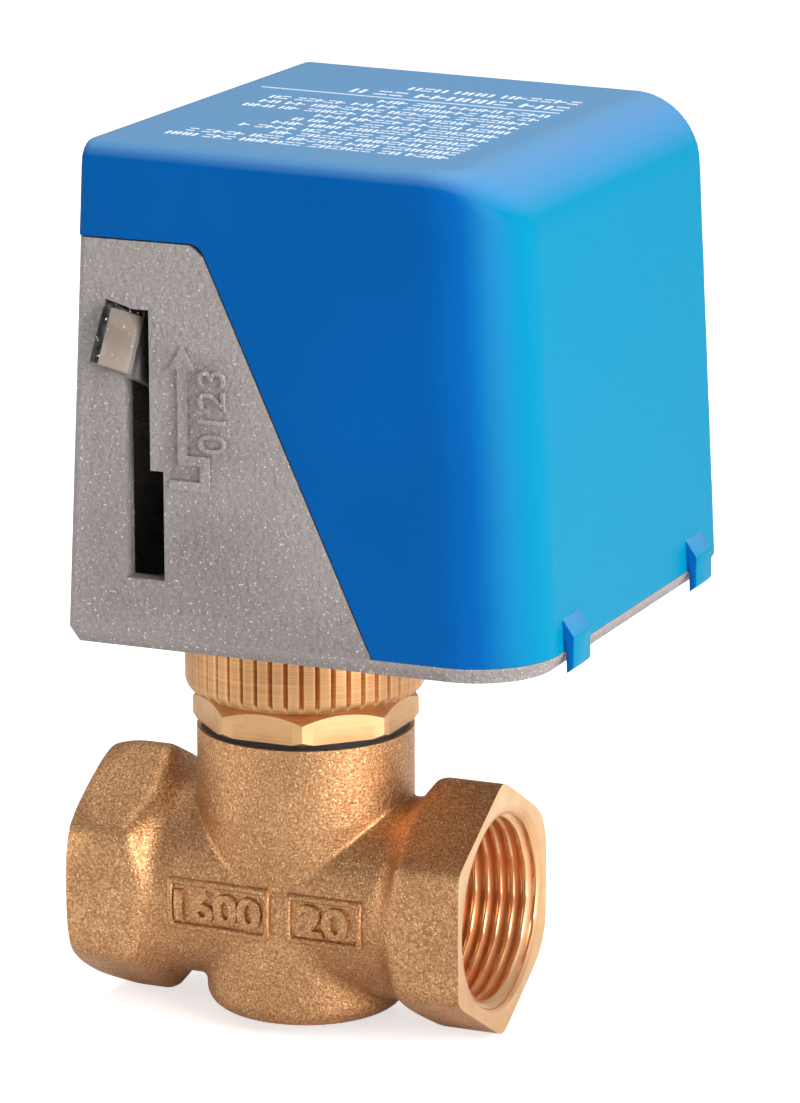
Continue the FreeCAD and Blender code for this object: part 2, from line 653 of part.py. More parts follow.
# ---------------------------------------------------------------- main shaft, sector, lever
def main_shaft():
    end = RIGHT_PLATE[1] + 1.2
    shaft = fuse(cyl_x(SHAFT_R, -10.2, end, PIVOT),
                 cyl_x(3.0, RIGHT_PLATE[1] + 0.02, end, PIVOT))
    return clean(shaft.cut(cyl_x(4, *SHAFT_GROOVE, PIVOT).cut(cyl_x(1.6, *SHAFT_GROOVE, PIVOT))))


def shaft_clip():
    y, z = PIVOT
    clip = cyl_x(3.5, SHAFT_GROOVE[0] + 0.02, SHAFT_GROOVE[1] - 0.02, PIVOT)
    return clip.cut(cyl_x(1.62, -11, -8, PIVOT)).cut(box(-11, -8, y - 1.2, y + 1.2, z - 5, z))


def drive_sector():
    """Toothed sector and involute cam on one hub; the cam pushes the stem down."""
    y, z = PIVOT
    wedge = [PIVOT] + [polar(PIVOT, 30, degrees) for degrees in (11, 30, 50, 75)]
    sector = gear(PIVOT, MODULE_1, SECTOR_TEETH, ANGLE_B, -1.6, 1.6).common(poly_x(wedge, -3, 3))
    cam = []
    for i in range(23):
        turn = -0.32 + i * 0.05
        reach = CAM_START + CAM_BASE * turn
        cam.append((y - CAM_BASE * math.cos(turn) - reach * math.sin(turn),
                    z + CAM_BASE * math.sin(turn) - reach * math.cos(turn)))
    cam += [(y - 10.2, z - 2.2), (y - 3.2, z + 3.0), (y + 3.6, z - 2.2)]
    sector = fuse(sector, cyl_x(4.4, -3.6, 3.6, PIVOT), poly_x(cam, -2.6, 2.6))
    return clean(cut_each(sector, [cyl_x(SHAFT_BORE, -20, 20, PIVOT)] + [
        cyl_x(2.6, -20, 20, polar(PIVOT, 10.2, degrees)) for degrees in (30, 58)]))


LEVER_X0, LEVER_X1 = -8.3, -7.1
LEVER_UP = 22.0            # rest angle of the arm
BEND = (-34.63, 79.24)     # where the bend crosses the arm's middle, y and z
TAB_LEAN = 32.4
TAB_BEND, TAB_LEN = math.radians(50), 5.0
TAB_DOWN, TAB_UP = 3.8, 4.7


def raised(out, up):
    """A point out along the raised arm and up from its middle, as y and z."""
    cos_up, sin_up = math.cos(math.radians(LEVER_UP)), math.sin(math.radians(LEVER_UP))
    return (PIVOT[0] - out * cos_up + up * sin_up, PIVOT[1] + out * sin_up + up * cos_up)


def finger_tab():
    """Tab bent to the left in front of the slot, with rounded outer corners."""
    thickness = LEVER_X1 - LEVER_X0
    along_x, along_y = -math.sin(TAB_BEND), -math.cos(TAB_BEND)
    normal_x, normal_y = -math.cos(TAB_BEND), math.sin(TAB_BEND)
    end_x, end_y = LEVER_X1 + along_x * TAB_LEN, along_y * TAB_LEN
    tab = poly_z([(LEVER_X1, 0), (end_x, end_y),
                  (end_x + normal_x * thickness, end_y + normal_y * thickness),
                  (LEVER_X0, thickness * math.tan(TAB_BEND / 2))], -TAB_DOWN, TAB_UP)

    def far_end(z):
        def test(edge):
            point = middle(edge)
            return (abs(point.z - z) < 0.01 and abs(edge.Length - thickness) < 0.01
                    and point.x < LEVER_X1 + along_x * TAB_LEN * 0.8)
        return test

    def front_rim(edge):
        """Top and outer edges of the tab's front face, which are rolled over."""
        centre = middle(edge)
        for point in [vertex.Point for vertex in edge.Vertexes] + [centre]:
            if abs((point.x - LEVER_X1) * normal_x + point.y * normal_y) > 0.01:
                return False
        out = (centre.x - LEVER_X1) * along_x + centre.y * along_y
        return centre.z > TAB_UP - 0.6 or out > TAB_LEN - 0.2

    tab = fillet(tab, 1.2, far_end(TAB_UP))
    tab = fillet(tab, 0.35, far_end(-TAB_DOWN))
    tab = fillet(tab, 0.6, front_rim)
    tab.translate(Vector(0, *BEND))
    tab.rotate(Vector(0, *BEND), Vector(1, 0, 0), -TAB_LEAN)
    return tab


def manual_lever():
    """Flat arm with its finger tab, drawn at its rest angle."""
    end_low = polar(BEND, -TAB_DOWN, 90 - TAB_LEAN)
    end_top = polar(BEND, TAB_UP, 90 - TAB_LEAN)
    arm = poly_x([raised(2.0, -5.5), raised(10, -5.0), raised(24, -4.5), end_low, end_top,
                  raised(20, 4.5), raised(2.0, 5.5)], LEVER_X0, LEVER_X1)
    arm = arm.fuse(cyl_x(5.8, LEVER_X0, LEVER_X1, PIVOT))
    arm = arm.fuse(cyl_x(3.6, LEVER_X1 - 0.01, LEFT_PLATE[0] - 0.1, PIVOT))
    arm = arm.fuse(cyl_x(3.6, -9.2, LEVER_X0 + 0.01, PIVOT))
    return clean(clean(arm.fuse(finger_tab())).cut(cyl_x(SHAFT_BORE, -20, 20, PIVOT)))


def return_spring():
    """Torsion spring round the main shaft, between the sector and the right plate."""
    coil_r, wire_r, length, turns = 3.7, 0.4, 7.6, 5.5
    height = length - 2 * wire_r
    pitch = height / turns
    helix = Part.makeHelix(pitch, height, coil_r)
    section = Part.makeCircle(wire_r, Vector(coil_r, 0, 0), Vector(0, 2 * math.pi * coil_r, pitch))
    coil = Part.Wire(helix.Edges).makePipeShell([Part.Wire([section])], True, True)
    coil.translate(Vector(0, 0, wire_r))
    coil.rotate(Vector(0, 0, 0), Vector(0, 1, 0), 90)
    coil.translate(Vector(4.6, *PIVOT))
    return coil


# ---------------------------------------------------------------- gear train
def gear_b():
    wheel = fuse(pinion(GEAR_B, MODULE_1, ANGLE_B, -2.4, 2.6), cyl_x(2.6, 2.5, 4.1, GEAR_B),
                 gear(GEAR_B, MODULE_2, WHEEL_B_TEETH, ANGLE_A, 4.0, 6.0),
                 cyl_x(2.6, 5.9, 13.6, GEAR_B))
    return clean(cut_each(wheel, [cyl_x(AXLE_BORE, -20, 30, GEAR_B)] + [
        cyl_x(2.0, 3.9, 7, polar(GEAR_B, 6.8, 18 + 72 * k)) for k in range(5)]))


def gear_a():
    wheel = fuse(pinion(GEAR_A, MODULE_2, ANGLE_A, 3.6, 6.9), cyl_x(1.9, 6.8, 8.1, GEAR_A),
                 gear(GEAR_A, MODULE_3, WHEEL_A_TEETH, ANGLE_MOTOR, 8.0, 9.8),
                 cyl_x(2.0, 9.7, 13.6, GEAR_A), cyl_x(1.9, -3.8, 3.7, GEAR_A))
    return clean(wheel.cut(cyl_x(AXLE_BORE, -20, 30, GEAR_A)))


def gear_b_axle():
    return cyl_x(AXLE_R, LEFT_PLATE[0], RIGHT_PLATE[1], GEAR_B)


def gear_a_axle():
    return cyl_x(AXLE_R, LEFT_PLATE[0], RIGHT_PLATE[1], GEAR_A)


def motor_pinion():
    return fuse(pinion(MOTOR, MODULE_3, ANGLE_MOTOR, 7.6, 13.0), cyl_x(1.5, 12.9, 19.0, MOTOR))


# ---------------------------------------------------------------- motor, terminals, cable
def motor_can():
    can = cyl_x(15.0, RIGHT_PLATE[1] + 1.3, 33.5, MOTOR)
    can = fillet(can, 1.5, lambda edge: middle(edge).x > 33)
    return can.cut(cyl_x(1.7, 10, 20, MOTOR))


def motor_plate():
    plate = cyl_x(14.6, RIGHT_PLATE[1] + 0.02, RIGHT_PLATE[1] + 1.28, MOTOR)
    # holes for the motor shaft, the main shaft's head, a frame screw and the motor screws
    holes = [(3.2, MOTOR), (3.4, PIVOT), (2.2, SPACERS[1])] + [(1.1, c) for c in MOTOR_SCREWS]
    return clean(cut_each(plate, [cyl_x(radius, 10, 20, centre) for radius, centre in holes]))


def motor_screws():
    return Part.makeCompound([
        screw_x(centre, RIGHT_PLATE[0] - 0.01, RIGHT_PLATE[1] + 1.2, head_r=1.8, head_h=1.0)
        for centre in MOTOR_SCREWS])


def terminal_block():
    block = box(25.0, 37.0, 6.0, 24.0, FRAME_Z, FLOOR_TOP + 8.0)
    for y in TERMINAL_YS:
        block = block.cut(cyl_z(1.9, FLOOR_TOP + 3.0, FLOOR_TOP + 9, TERMINAL_X, y))
        block = block.cut(cyl_x(1.1, 20, 30, (y, LEAD_Z)))
    return clean(block)


def terminal_screws():
    return Part.makeCompound([
        cyl_z(1.8, FLOOR_TOP + 3.6, FLOOR_TOP + 6.2, TERMINAL_X, y)
        .cut(box(29, 33, y - 0.3, y + 0.3, FLOOR_TOP + 5.4, FLOOR_TOP + 7))
        for y in TERMINAL_YS])


def cable_grommet():
    sleeve = cyl_x(3.95, CABLE_WALL - 1.2, CABLE_WALL + 4.6, CABLE)
    sleeve = sleeve.fuse(cyl_x(5.6, CABLE_WALL - 1.6, CABLE_WALL - 0.35, CABLE))
    return clean(sleeve.cut(cyl_x(2.62, -40, 0, CABLE)))


def cable():
    return cyl_x(2.6, CABLE_WALL - 12.0, CABLE_WALL + 6.5, CABLE)


def wire(points, radius=0.5):
    """Straight round lengths with a ball at each bend."""
    points = [Vector(*point) for point in points]
    lengths = [Part.makeCylinder(radius, (b - a).Length, a, b - a)
               for a, b in zip(points[:-1], points[1:])]
    return fuse(*lengths, *[Part.makeSphere(radius, point) for point in points[1:-1]])


def lead_wires():
    """Three wires from the cable's end, along the back, to the terminals."""
    wires = []
    for k, y in enumerate(TERMINAL_YS):
        start_z, run_z = CABLE[1] - 1.5 + 1.5 * k, 48.6 + 1.5 * k
        wires.append(wire([
            (CABLE_WALL + 6.54, CABLE[0], start_z), (CABLE_WALL + 7.4, CABLE[0], start_z),
            (CABLE_WALL + 9.6, 28.4, run_z), (-2.0, 29.4, run_z), (18.0 + 2 * k, 29.4, run_z),
            (20.2 + 1.6 * k, y, LEAD_Z), (28.9, y, LEAD_Z)]))
    return Part.makeCompound(wires)


# each function is named after the file that its piece is saved in
for piece in (
        valve_body, bonnet, bonnet_gasket, stem_gland, stem_o_rings, stem, plug_seal,
        plug_holder, plug_nut, plug_clip, spring_cup, spring_clip, valve_spring, coupling_nut,
        nut_clip, base_casting, cover, frame_plate_left, frame_plate_right, frame_spacers,
        frame_screws, foot_screws, main_shaft, shaft_clip, drive_sector, manual_lever,
        return_spring, gear_b, gear_a, gear_b_axle, gear_a_axle, motor_pinion, motor_can,
        motor_plate, motor_screws, terminal_block, terminal_screws, cable_grommet, cable,
        lead_wires):
    save(piece.__name__, piece())
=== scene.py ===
# A two-port valve with an actuator on top: forged brass body, knurled union nut, die-cast base,
# blue cover and a bent manual lever. The run lies along X at z = 0, the stem stands on Z and
# the front is -Y. Shapes are drawn in mm about the stem; make_object() places them in metres.
import bpy, bmesh, math, json, random
import numpy as np
from mathutils import Vector, Matrix


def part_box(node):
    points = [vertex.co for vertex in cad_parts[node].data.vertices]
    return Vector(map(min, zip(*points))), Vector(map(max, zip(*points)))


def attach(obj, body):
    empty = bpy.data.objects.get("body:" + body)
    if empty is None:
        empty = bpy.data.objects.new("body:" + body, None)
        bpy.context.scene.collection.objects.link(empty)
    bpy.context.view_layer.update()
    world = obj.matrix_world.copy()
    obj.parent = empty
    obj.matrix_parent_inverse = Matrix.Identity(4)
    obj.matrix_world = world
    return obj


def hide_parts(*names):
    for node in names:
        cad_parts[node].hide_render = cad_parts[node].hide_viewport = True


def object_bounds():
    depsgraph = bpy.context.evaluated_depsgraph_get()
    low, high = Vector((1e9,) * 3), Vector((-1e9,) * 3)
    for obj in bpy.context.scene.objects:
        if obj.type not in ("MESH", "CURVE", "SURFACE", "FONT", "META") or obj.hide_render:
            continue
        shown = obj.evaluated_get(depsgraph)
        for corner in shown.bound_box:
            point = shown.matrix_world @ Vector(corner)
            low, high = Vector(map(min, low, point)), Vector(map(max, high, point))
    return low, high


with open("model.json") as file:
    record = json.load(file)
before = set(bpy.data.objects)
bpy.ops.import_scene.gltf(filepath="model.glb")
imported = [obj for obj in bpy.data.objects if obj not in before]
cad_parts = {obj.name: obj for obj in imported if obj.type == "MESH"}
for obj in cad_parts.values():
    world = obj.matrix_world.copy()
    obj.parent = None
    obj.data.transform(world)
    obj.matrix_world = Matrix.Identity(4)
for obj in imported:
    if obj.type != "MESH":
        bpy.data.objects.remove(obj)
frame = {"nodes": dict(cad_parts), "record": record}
CAD_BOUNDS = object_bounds()
NODES = frame["nodes"]
body_low, body_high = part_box("valve_body")
STEM_X = (body_low[0] + body_high[0]) / 2 * 1000
HALF_RUN = (body_high[0] - body_low[0]) / 2 * 1000     # stem to port face


# ------------------------------------------------------------------ mesh tools
def shade(mesh, angle):
    """Smooth shading, sharp where faces meet at more than angle degrees."""
    mesh.shade_smooth()
    mesh.set_sharp_from_angle(angle=math.radians(angle))


def make_object(name, verts, faces, smooth=35):
    """Object from points in mm about the stem; smooth is the sharp angle, 0 leaves it unshaded."""
    mesh = bpy.data.meshes.new(name)
    points = (np.asarray(verts, float) + [STEM_X, 0, 0]) / 1000.0
    mesh.from_pydata(points.tolist(), [], [tuple(int(i) for i in f) for f in faces])
    mesh.validate()
    mesh.update()
    if smooth:
        shade(mesh, smooth)
    ob = bpy.data.objects.new(name, mesh)
    bpy.context.scene.collection.objects.link(ob)
    return ob


def piece(ob, body, slot, material=None, replaced=None):
    """Dress a part, tie it to its moving body and hide the CAD node it stands in for."""
    ob.data.materials.clear()
    ob.data.materials.append(material or MATERIALS[slot])
    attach(ob, body)
    if replaced:
        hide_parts(replaced)


def evaluated_mesh(ob):
    depsgraph = bpy.context.evaluated_depsgraph_get()
    depsgraph.update()
    return bpy.data.meshes.new_from_object(ob.evaluated_get(depsgraph))


def orient_faces(ob, weld=False, split_quads=False):
    """Turn all faces outward, after an optional weld or split of the quads."""
    bm = bmesh.new()
    bm.from_mesh(ob.data)
    if weld:
        bmesh.ops.remove_doubles(bm, verts=bm.verts, dist=1e-7)
    if split_quads:
        bmesh.ops.triangulate(bm, faces=[f for f in bm.faces if len(f.verts) == 4])
    bmesh.ops.recalc_face_normals(bm, faces=bm.faces)
    bm.to_mesh(ob.data)
    bm.free()


def carve(ob, cutters, sharp):
    """Subtract each cutter in turn and delete it."""
    for cutter in cutters:
        mod = ob.modifiers.new("b", "BOOLEAN")
        mod.operation, mod.object = "DIFFERENCE", cutter
        # the exact solver runs only where the manifold one gives nothing or leaves ob as it was
        for solver in ("MANIFOLD", "EXACT"):
            mod.solver = solver
            mesh = evaluated_mesh(ob)
            if len(mesh.polygons) > 8 and len(mesh.polygons) != len(ob.data.polygons):
                break
        ob.modifiers.remove(mod)
        ob.data = mesh
        shade(mesh, sharp)
        bpy.data.objects.remove(cutter)
    return ob


def add_bevel(ob, name, width, angle):
    mod = ob.modifiers.new(name, "BEVEL")
    mod.width, mod.segments = width / 1000, 2
    mod.limit_method, mod.angle_limit = "ANGLE", math.radians(angle)
    mod.use_clamp_overlap = True
    return mod


def bake_bevel(ob, width, angle=30):
    mod = add_bevel(ob, "bev", width, angle)
    mesh = evaluated_mesh(ob)
    ob.modifiers.remove(mod)
    ob.data = mesh
    shade(mesh, 40)


def stitch(rings, points, wrap=False):
    """Quads between neighbouring closed rings; wrap also joins the last ring to the first."""
    quads = []
    for ring in range(rings if wrap else rings - 1):
        here, there = ring * points, (ring + 1) % rings * points
        for i in range(points):
            j = (i + 1) % points
            quads.append((here + i, here + j, there + j, there + i))
    return quads


def prism_faces(n, first=0):
    """Two end caps and n sides over a lower and an upper ring of n points."""
    faces = [tuple(range(n))[::-1], tuple(range(n, 2 * n))] + stitch(2, n)
    return [tuple(first + i for i in f) for f in faces]


def prism(name, outline, axis, start, end, bevel=0.0):
    """Straight prism. Outline for axis X: (y, z); Y: (x, z); Z: (x, y)."""
    n = len(outline)
    area = sum(outline[i][0] * outline[(i + 1) % n][1] - outline[(i + 1) % n][0] * outline[i][1]
               for i in range(n))
    if area < 0:
        outline = outline[::-1]
    place = {"X": lambda p, t: (t, p[0], p[1]),
             "Y": lambda p, t: (p[0], t, p[1]),
             "Z": lambda p, t: (p[0], p[1], t)}[axis]
    faces = prism_faces(n)
    if axis == "Y":
        faces = [f[::-1] for f in faces]
    ob = make_object(name, [place(p, t) for t in (start, end) for p in outline], faces)
    if bevel:
        bake_bevel(ob, bevel)
    return ob


def rectangle(x0, x1, y0, y1):
    return [(x0, y0), (x1, y0), (x1, y1), (x0, y1)]


def box(x0, x1, y0, y1, z0, z1):
    return prism("cutter", rectangle(x0, x1, y0, y1), "Z", z0, z1)


def circle(radius, n):
    """n points as (cos, sin) pairs scaled by radius."""
    return [(radius * math.cos(2 * math.pi * i / n), radius * math.sin(2 * math.pi * i / n))
            for i in range(n)]


def cylinder(radius, start, end, n=96):
    start, end = np.array(start, float), np.array(end, float)
    along = (end - start) / np.linalg.norm(end - start)
    side = np.cross(along, [0, 0, 1.0] if abs(along[2]) < 0.9 else [1.0, 0, 0])
    side /= np.linalg.norm(side)
    other = np.cross(along, side)
    verts = [p + c * side + s * other for p in (start, end) for c, s in circle(radius, n)]
    return make_object("cutter", verts, prism_faces(n))


def revolve(name, profile, n, axis="Z", smooth=35, radius_at=None):
    """Ring from a closed (radius, height) profile; radius_at(radius, angle) may reshape it."""
    verts = []
    for i in range(n):
        t = 2 * math.pi * i / n
        for r, z in profile:
            radius = radius_at(r, t) if radius_at else r
            verts.append((radius * math.cos(t), radius * math.sin(t), z))
    verts = np.array(verts)
    if axis == "X":
        verts = verts[:, [2, 0, 1]]
    faces = [(a, d, c, b) for a, b, c, d in stitch(n, len(profile), wrap=True)]
    ob = make_object(name, verts, faces, smooth)
    orient_faces(ob, weld=True)
    shade(ob.data, smooth)
    return ob


def round_poly(points, radii, n):
    """Outline with each corner rounded in n steps; one radius for each corner, 0 keeps it."""
    out = []
    for i, radius in enumerate(radii):
        corner, before, after = (np.array(points[j % len(points)], float)
                                 for j in (i, i - 1, i + 1))
        if radius <= 0:
            out.append(tuple(corner))
            continue
        u = (before - corner) / np.linalg.norm(before - corner)
        w = (after - corner) / np.linalg.norm(after - corner)
        angle = math.acos(max(-1, min(1, float(u @ w))))
        tangent = radius / math.tan(angle / 2)
        centre = corner + (u + w) / np.linalg.norm(u + w) * radius / math.sin(angle / 2)
        start, end = corner + u * tangent - centre, corner + w * tangent - centre
        for k in range(n + 1):
            spoke = start * (1 - k / n) + end * (k / n)
            out.append(tuple(centre + spoke / np.linalg.norm(spoke) * radius))
    return out


# ------------------------------------------------------------------ distance fields
def smax(a, b, k):
    """Round intersection: a fillet of radius k where both are near the surface."""
    u, v = np.maximum(a + k, 0), np.maximum(b + k, 0)
    return np.where((u > 0) & (v > 0), np.sqrt(u * u + v * v) - k, np.maximum(a, b))


def smin(a, b, k):
    """Round union, filleted the same way."""
    u, v = np.maximum(k - a, 0), np.maximum(k - b, 0)
    return np.where((u > 0) & (v > 0), k - np.sqrt(u * u + v * v), np.minimum(a, b))


def surface_nets(field, low, high, cell, steps):
    """Quad mesh of field = 0: one vertex for each crossed cell, then pulled onto the surface."""
    axes = [np.arange(low[i], high[i] + cell, cell) for i in range(3)]
    values = field(*np.meshgrid(*axes, indexing="ij"))
    cells = np.array(values.shape) - 1
    total = int(np.prod(cells))
    count = np.zeros(total)
    sums = np.zeros((total, 3))
    faces = []
    for a in range(3):
        # grid edges along axis a that cross the surface
        first, second = [slice(None)] * 3, [slice(None)] * 3
        first[a], second[a] = slice(0, -1), slice(1, None)
        d0, d1 = values[tuple(first)], values[tuple(second)]
        crossed = (d0 < 0) != (d1 < 0)
        idx = np.argwhere(crossed)
        p = idx.astype(float)
        p[:, a] += d0[crossed] / (d0[crossed] - d1[crossed])
        b, c = (a + 1) % 3, (a + 2) % 3
        ok = (idx[:, b] > 0) & (idx[:, c] > 0) & (idx[:, b] < cells[b]) & (idx[:, c] < cells[c])
        idx, p, inside = idx[ok], p[ok], (d0[crossed] < 0)[ok]
        quad = []
        for step_b, step_c in ((0, 0), (-1, 0), (-1, -1), (0, -1)):
            q = idx.copy()
            q[:, b] += step_b
            q[:, c] += step_c
            key = (q[:, 0] * cells[1] + q[:, 1]) * cells[2] + q[:, 2]
            count += np.bincount(key, minlength=total)
            for j in range(3):
                sums[:, j] += np.bincount(key, weights=p[:, j], minlength=total)
            quad.append(key)
        quad = np.stack(quad, 1)
        quad[~inside] = quad[~inside][:, ::-1]
        faces.append(quad)
    used = count > 0
    faces = (np.cumsum(used) - 1)[np.concatenate(faces)]
    verts = sums[used] / count[used][:, None] * cell + np.array(low)
    nudge = np.eye(3) * 0.02                  # half the span of the gradient sample
    for _ in range(steps):
        d = field(*verts.T)
        gradient = np.stack([field(*(verts + e).T) - field(*(verts - e).T)
                             for e in nudge], 1) / (2 * 0.02)
        steepness = np.maximum((gradient ** 2).sum(1), 0.2)
        move = (-d / steepness)[:, None] * gradient
        length = np.linalg.norm(move, axis=1, keepdims=True)
        verts = verts + move * np.minimum(1, 0.35 * cell / np.maximum(length, 1e-9))
    return verts, faces


# ------------------------------------------------------------------ material tools
def srgb(r, g, b):
    """Linear colour from 0-255 sRGB."""
    linear = [(c / 255) / 12.92 if c / 255 <= 0.04045 else ((c / 255 + 0.055) / 1.055) ** 2.4
              for c in (r, g, b)]
    return (*linear, 1)


def mix_color(tree, factor, a, b):
    """Colour mix node; each input is a socket or a plain colour."""
    node = tree.nodes.new("ShaderNodeMix")
    node.data_type = "RGBA"
    sockets = [node.inputs["Factor"]] + [s for s in node.inputs if s.type == "RGBA"]
    for socket, value in zip(sockets, (factor, a, b)):
        if hasattr(value, "is_linked"):
            tree.links.new(value, socket)
        else:
            socket.default_value = value
    return [s for s in node.outputs if s.type == "RGBA"][0]


class Mat:
    """A Principled material built up from sockets; textures use object coordinates in metres."""

    def __init__(self, name, color, metallic=0.0, rough=0.5, spec=0.5):
        self.m = bpy.data.materials.new(name)
        self.m.use_nodes = True
        self.tree = self.m.node_tree
        self.shader = self.tree.nodes["Principled BSDF"]
        self.shader.inputs["Base Color"].default_value = color
        self.shader.inputs["Metallic"].default_value = metallic
        self.shader.inputs["Roughness"].default_value = rough
        self.shader.inputs["Specular IOR Level"].default_value = spec
        self.coords = None
        self.normal = None

    def node(self, kind, **inputs):
        """New node; values are given by input name, with _ for a space."""
        node = self.tree.nodes.new(kind)
        for key, value in inputs.items():
            node.inputs[key.replace("_", " ")].default_value = value
        return node

    def link(self, a, b):
        self.tree.links.new(a, b)

    def place(self):
        if self.coords is None:
            self.coords = self.node("ShaderNodeTexCoord").outputs["Object"]
        return self.coords

    def noise(self, scale, detail=2.0, rough=0.5, vector=None):
        node = self.node("ShaderNodeTexNoise", Scale=scale, Detail=detail, Roughness=rough)
        self.link(vector or self.place(), node.inputs["Vector"])
        return node.outputs["Fac"]

    def streaks(self, scale):
        """Noise stretched by a scale for each axis."""
        mapping = self.node("ShaderNodeMapping", Scale=scale)
        self.link(self.place(), mapping.inputs["Vector"])
        return self.noise(scale=1.0, detail=3.0, rough=0.6, vector=mapping.outputs["Vector"])

    def remap(self, value, span, to=(0, 1)):
        node = self.node("ShaderNodeMapRange", From_Min=span[0], From_Max=span[1],
                         To_Min=to[0], To_Max=to[1])
        self.link(value, node.inputs["Value"])
        return node.outputs["Result"]

    def mix(self, factor, a, b):
        return mix_color(self.tree, factor, a, b)

    def painted_glints(self, color, light, scale, span, to=(0, 1)):
        """Small bright spots over a colour: painted glints."""
        return self.mix(self.remap(self.noise(scale=scale, detail=1.0), span, to), color, light)

    def painted_edge_highlight(self, color, light, amount):
        """Lighter where the surface is convex: a painted highlight along the edges."""
        geometry = self.node("ShaderNodeNewGeometry")
        ramp = self.node("ShaderNodeValToRGB")
        stops = ((0.5, 0), (0.56, amount))    # pointiness, painted highlight
        for element, (position, highlight) in zip(ramp.color_ramp.elements, stops):
            element.position = position
            element.color = (highlight, highlight, highlight, 1)
        self.link(geometry.outputs["Pointiness"], ramp.inputs["Fac"])
        return self.mix(ramp.outputs["Color"], color, light)

    def bump(self, height, depth, strength):
        """Relief depth in mm, laid over any earlier bump."""
        node = self.node("ShaderNodeBump", Strength=strength, Distance=depth / 1000)
        self.link(height, node.inputs["Height"])
        if self.normal is not None:
            self.link(self.normal, node.inputs["Normal"])
        self.normal = node.outputs["Normal"]
        self.link(self.normal, self.shader.inputs["Normal"])

    def base(self, color):
        self.link(color, self.shader.inputs["Base Color"])

    def rough(self, value, span, to):
        self.link(self.remap(value, span, to), self.shader.inputs["Roughness"])


# ------------------------------------------------------------------ materials
MIDDLE = (0.3, 0.7)                           # the part of a noise's range that is mostly filled
ALONG_X = (4200, 60, 60)                      # fine turning streaks that ring the X axis
ALONG_Z = (60, 60, 4200)


def forged_brass():
    m = Mat("forged_brass", srgb(190, 140, 85), metallic=0.9, rough=0.42)
    fine = m.noise(scale=3000, rough=0.6)
    mid = m.noise(scale=1300, detail=3.0, rough=0.6)
    big = m.noise(scale=110, detail=3.0)
    color = m.mix(m.remap(fine, span=(0.36, 0.64)), srgb(172, 121, 80), srgb(228, 177, 126))
    color = m.mix(m.remap(big, span=(0.35, 0.65), to=(0, 0.35)), color, srgb(146, 100, 62))
    # bright specks: painted glints
    m.base(m.painted_glints(color, srgb(255, 226, 176), scale=3800, span=(0.64, 0.72)))
    m.rough(mid, span=MIDDLE, to=(0.38, 0.54))
    m.bump(mid, depth=0.16, strength=0.7)
    m.bump(fine, depth=0.09, strength=0.8)
    return m.m


def machined_brass(name, dark, light, rough, streak):
    m = Mat(name, srgb(*dark), metallic=0.92, rough=rough)
    turning = m.streaks(streak)
    big = m.noise(scale=140)
    color = m.mix(m.remap(turning, span=MIDDLE), srgb(*dark), srgb(*light))
    color = m.mix(m.remap(big, span=(0.4, 0.7), to=(0, 0.3)), color, srgb(168, 114, 68))
    # convex edges lightened: painted highlight
    m.base(m.painted_edge_highlight(color, srgb(240, 200, 148), amount=0.5))
    m.rough(big, span=MIDDLE, to=(rough - 0.05, rough + 0.12))
    m.bump(turning, depth=0.03, strength=0.35)
    return m.m


def diecast():
    m = Mat("diecast_grey", srgb(130, 121, 118), rough=0.5, spec=0.4)
    cell = m.node("ShaderNodeTexVoronoi")
    cell.feature = "SMOOTH_F1"
    cell.inputs["Scale"].default_value = 1300
    m.link(m.place(), cell.inputs["Vector"])
    mid = m.noise(scale=1300, detail=3.0, rough=0.65)
    fine = m.noise(scale=3200, rough=0.6)
    big = m.noise(scale=50)
    color = m.mix(m.remap(fine, span=MIDDLE), srgb(122, 114, 111), srgb(148, 139, 136))
    color = m.mix(m.remap(big, span=(0.4, 0.75), to=(0, 0.22)), color, srgb(113, 105, 102))
    # bright specks: painted glints
    color = m.painted_glints(color, srgb(214, 205, 200), scale=2600, span=(0.66, 0.73))
    # convex edges lightened: painted highlight
    m.base(m.painted_edge_highlight(color, srgb(226, 220, 216), amount=0.15))
    m.rough(mid, span=MIDDLE, to=(0.36, 0.54))
    m.bump(cell.outputs["Distance"], depth=0.30, strength=0.6)
    m.bump(mid, depth=0.45, strength=0.8)
    m.bump(fine, depth=0.05, strength=0.7)
    return m.m


def cover_blue():
    """Moulded blue with painted light: cyan where it faces +X, the lit side, and paler where it
    faces up, a painted reflection from above.
    """
    m = Mat("blue_cover", srgb(0, 90, 165), rough=0.36, spec=0.05)
    geometry = m.node("ShaderNodeNewGeometry")
    painted_light_facing = m.node("ShaderNodeSeparateXYZ")
    m.link(geometry.outputs["Normal"], painted_light_facing.inputs["Vector"])
    grain = m.noise(scale=1700)
    big = m.noise(scale=40)
    color = m.mix(m.remap(big, span=(0.35, 0.65)), srgb(0, 84, 156), srgb(0, 88, 161))
    # painted light: faces toward +X are coloured as the lit side
    color = m.mix(m.remap(painted_light_facing.outputs["X"], span=(0.42, 0.97)), color, srgb(0, 127, 163))
    # painted reflection: faces pointing up are coloured paler
    m.base(m.mix(m.remap(painted_light_facing.outputs["Z"], span=(0.3, 0.98)), color, srgb(92, 142, 184)))
    m.rough(grain, span=MIDDLE, to=(0.30, 0.40))
    m.bump(grain, depth=0.015, strength=0.3)
    return m.m


def tab_nickel():
    m = Mat("tab_nickel", srgb(122, 109, 99), metallic=0.3, rough=0.45, spec=0.4)
    big = m.noise(scale=260, detail=3.0, rough=0.6)
    fine = m.noise(scale=3000, rough=0.6)
    color = m.mix(m.remap(big, span=(0.35, 0.65)), srgb(115, 102, 92), srgb(131, 117, 107))
    # bright specks: painted glints
    color = m.painted_glints(color, srgb(220, 214, 206), scale=2200, span=(0.73, 0.77), to=(0, 0.6))
    m.base(m.mix(m.remap(fine, span=MIDDLE, to=(0, 0.2)), color, srgb(112, 98, 88)))
    m.rough(big, span=MIDDLE, to=(0.34, 0.5))
    m.bump(fine, depth=0.01, strength=0.5)
    return m.m


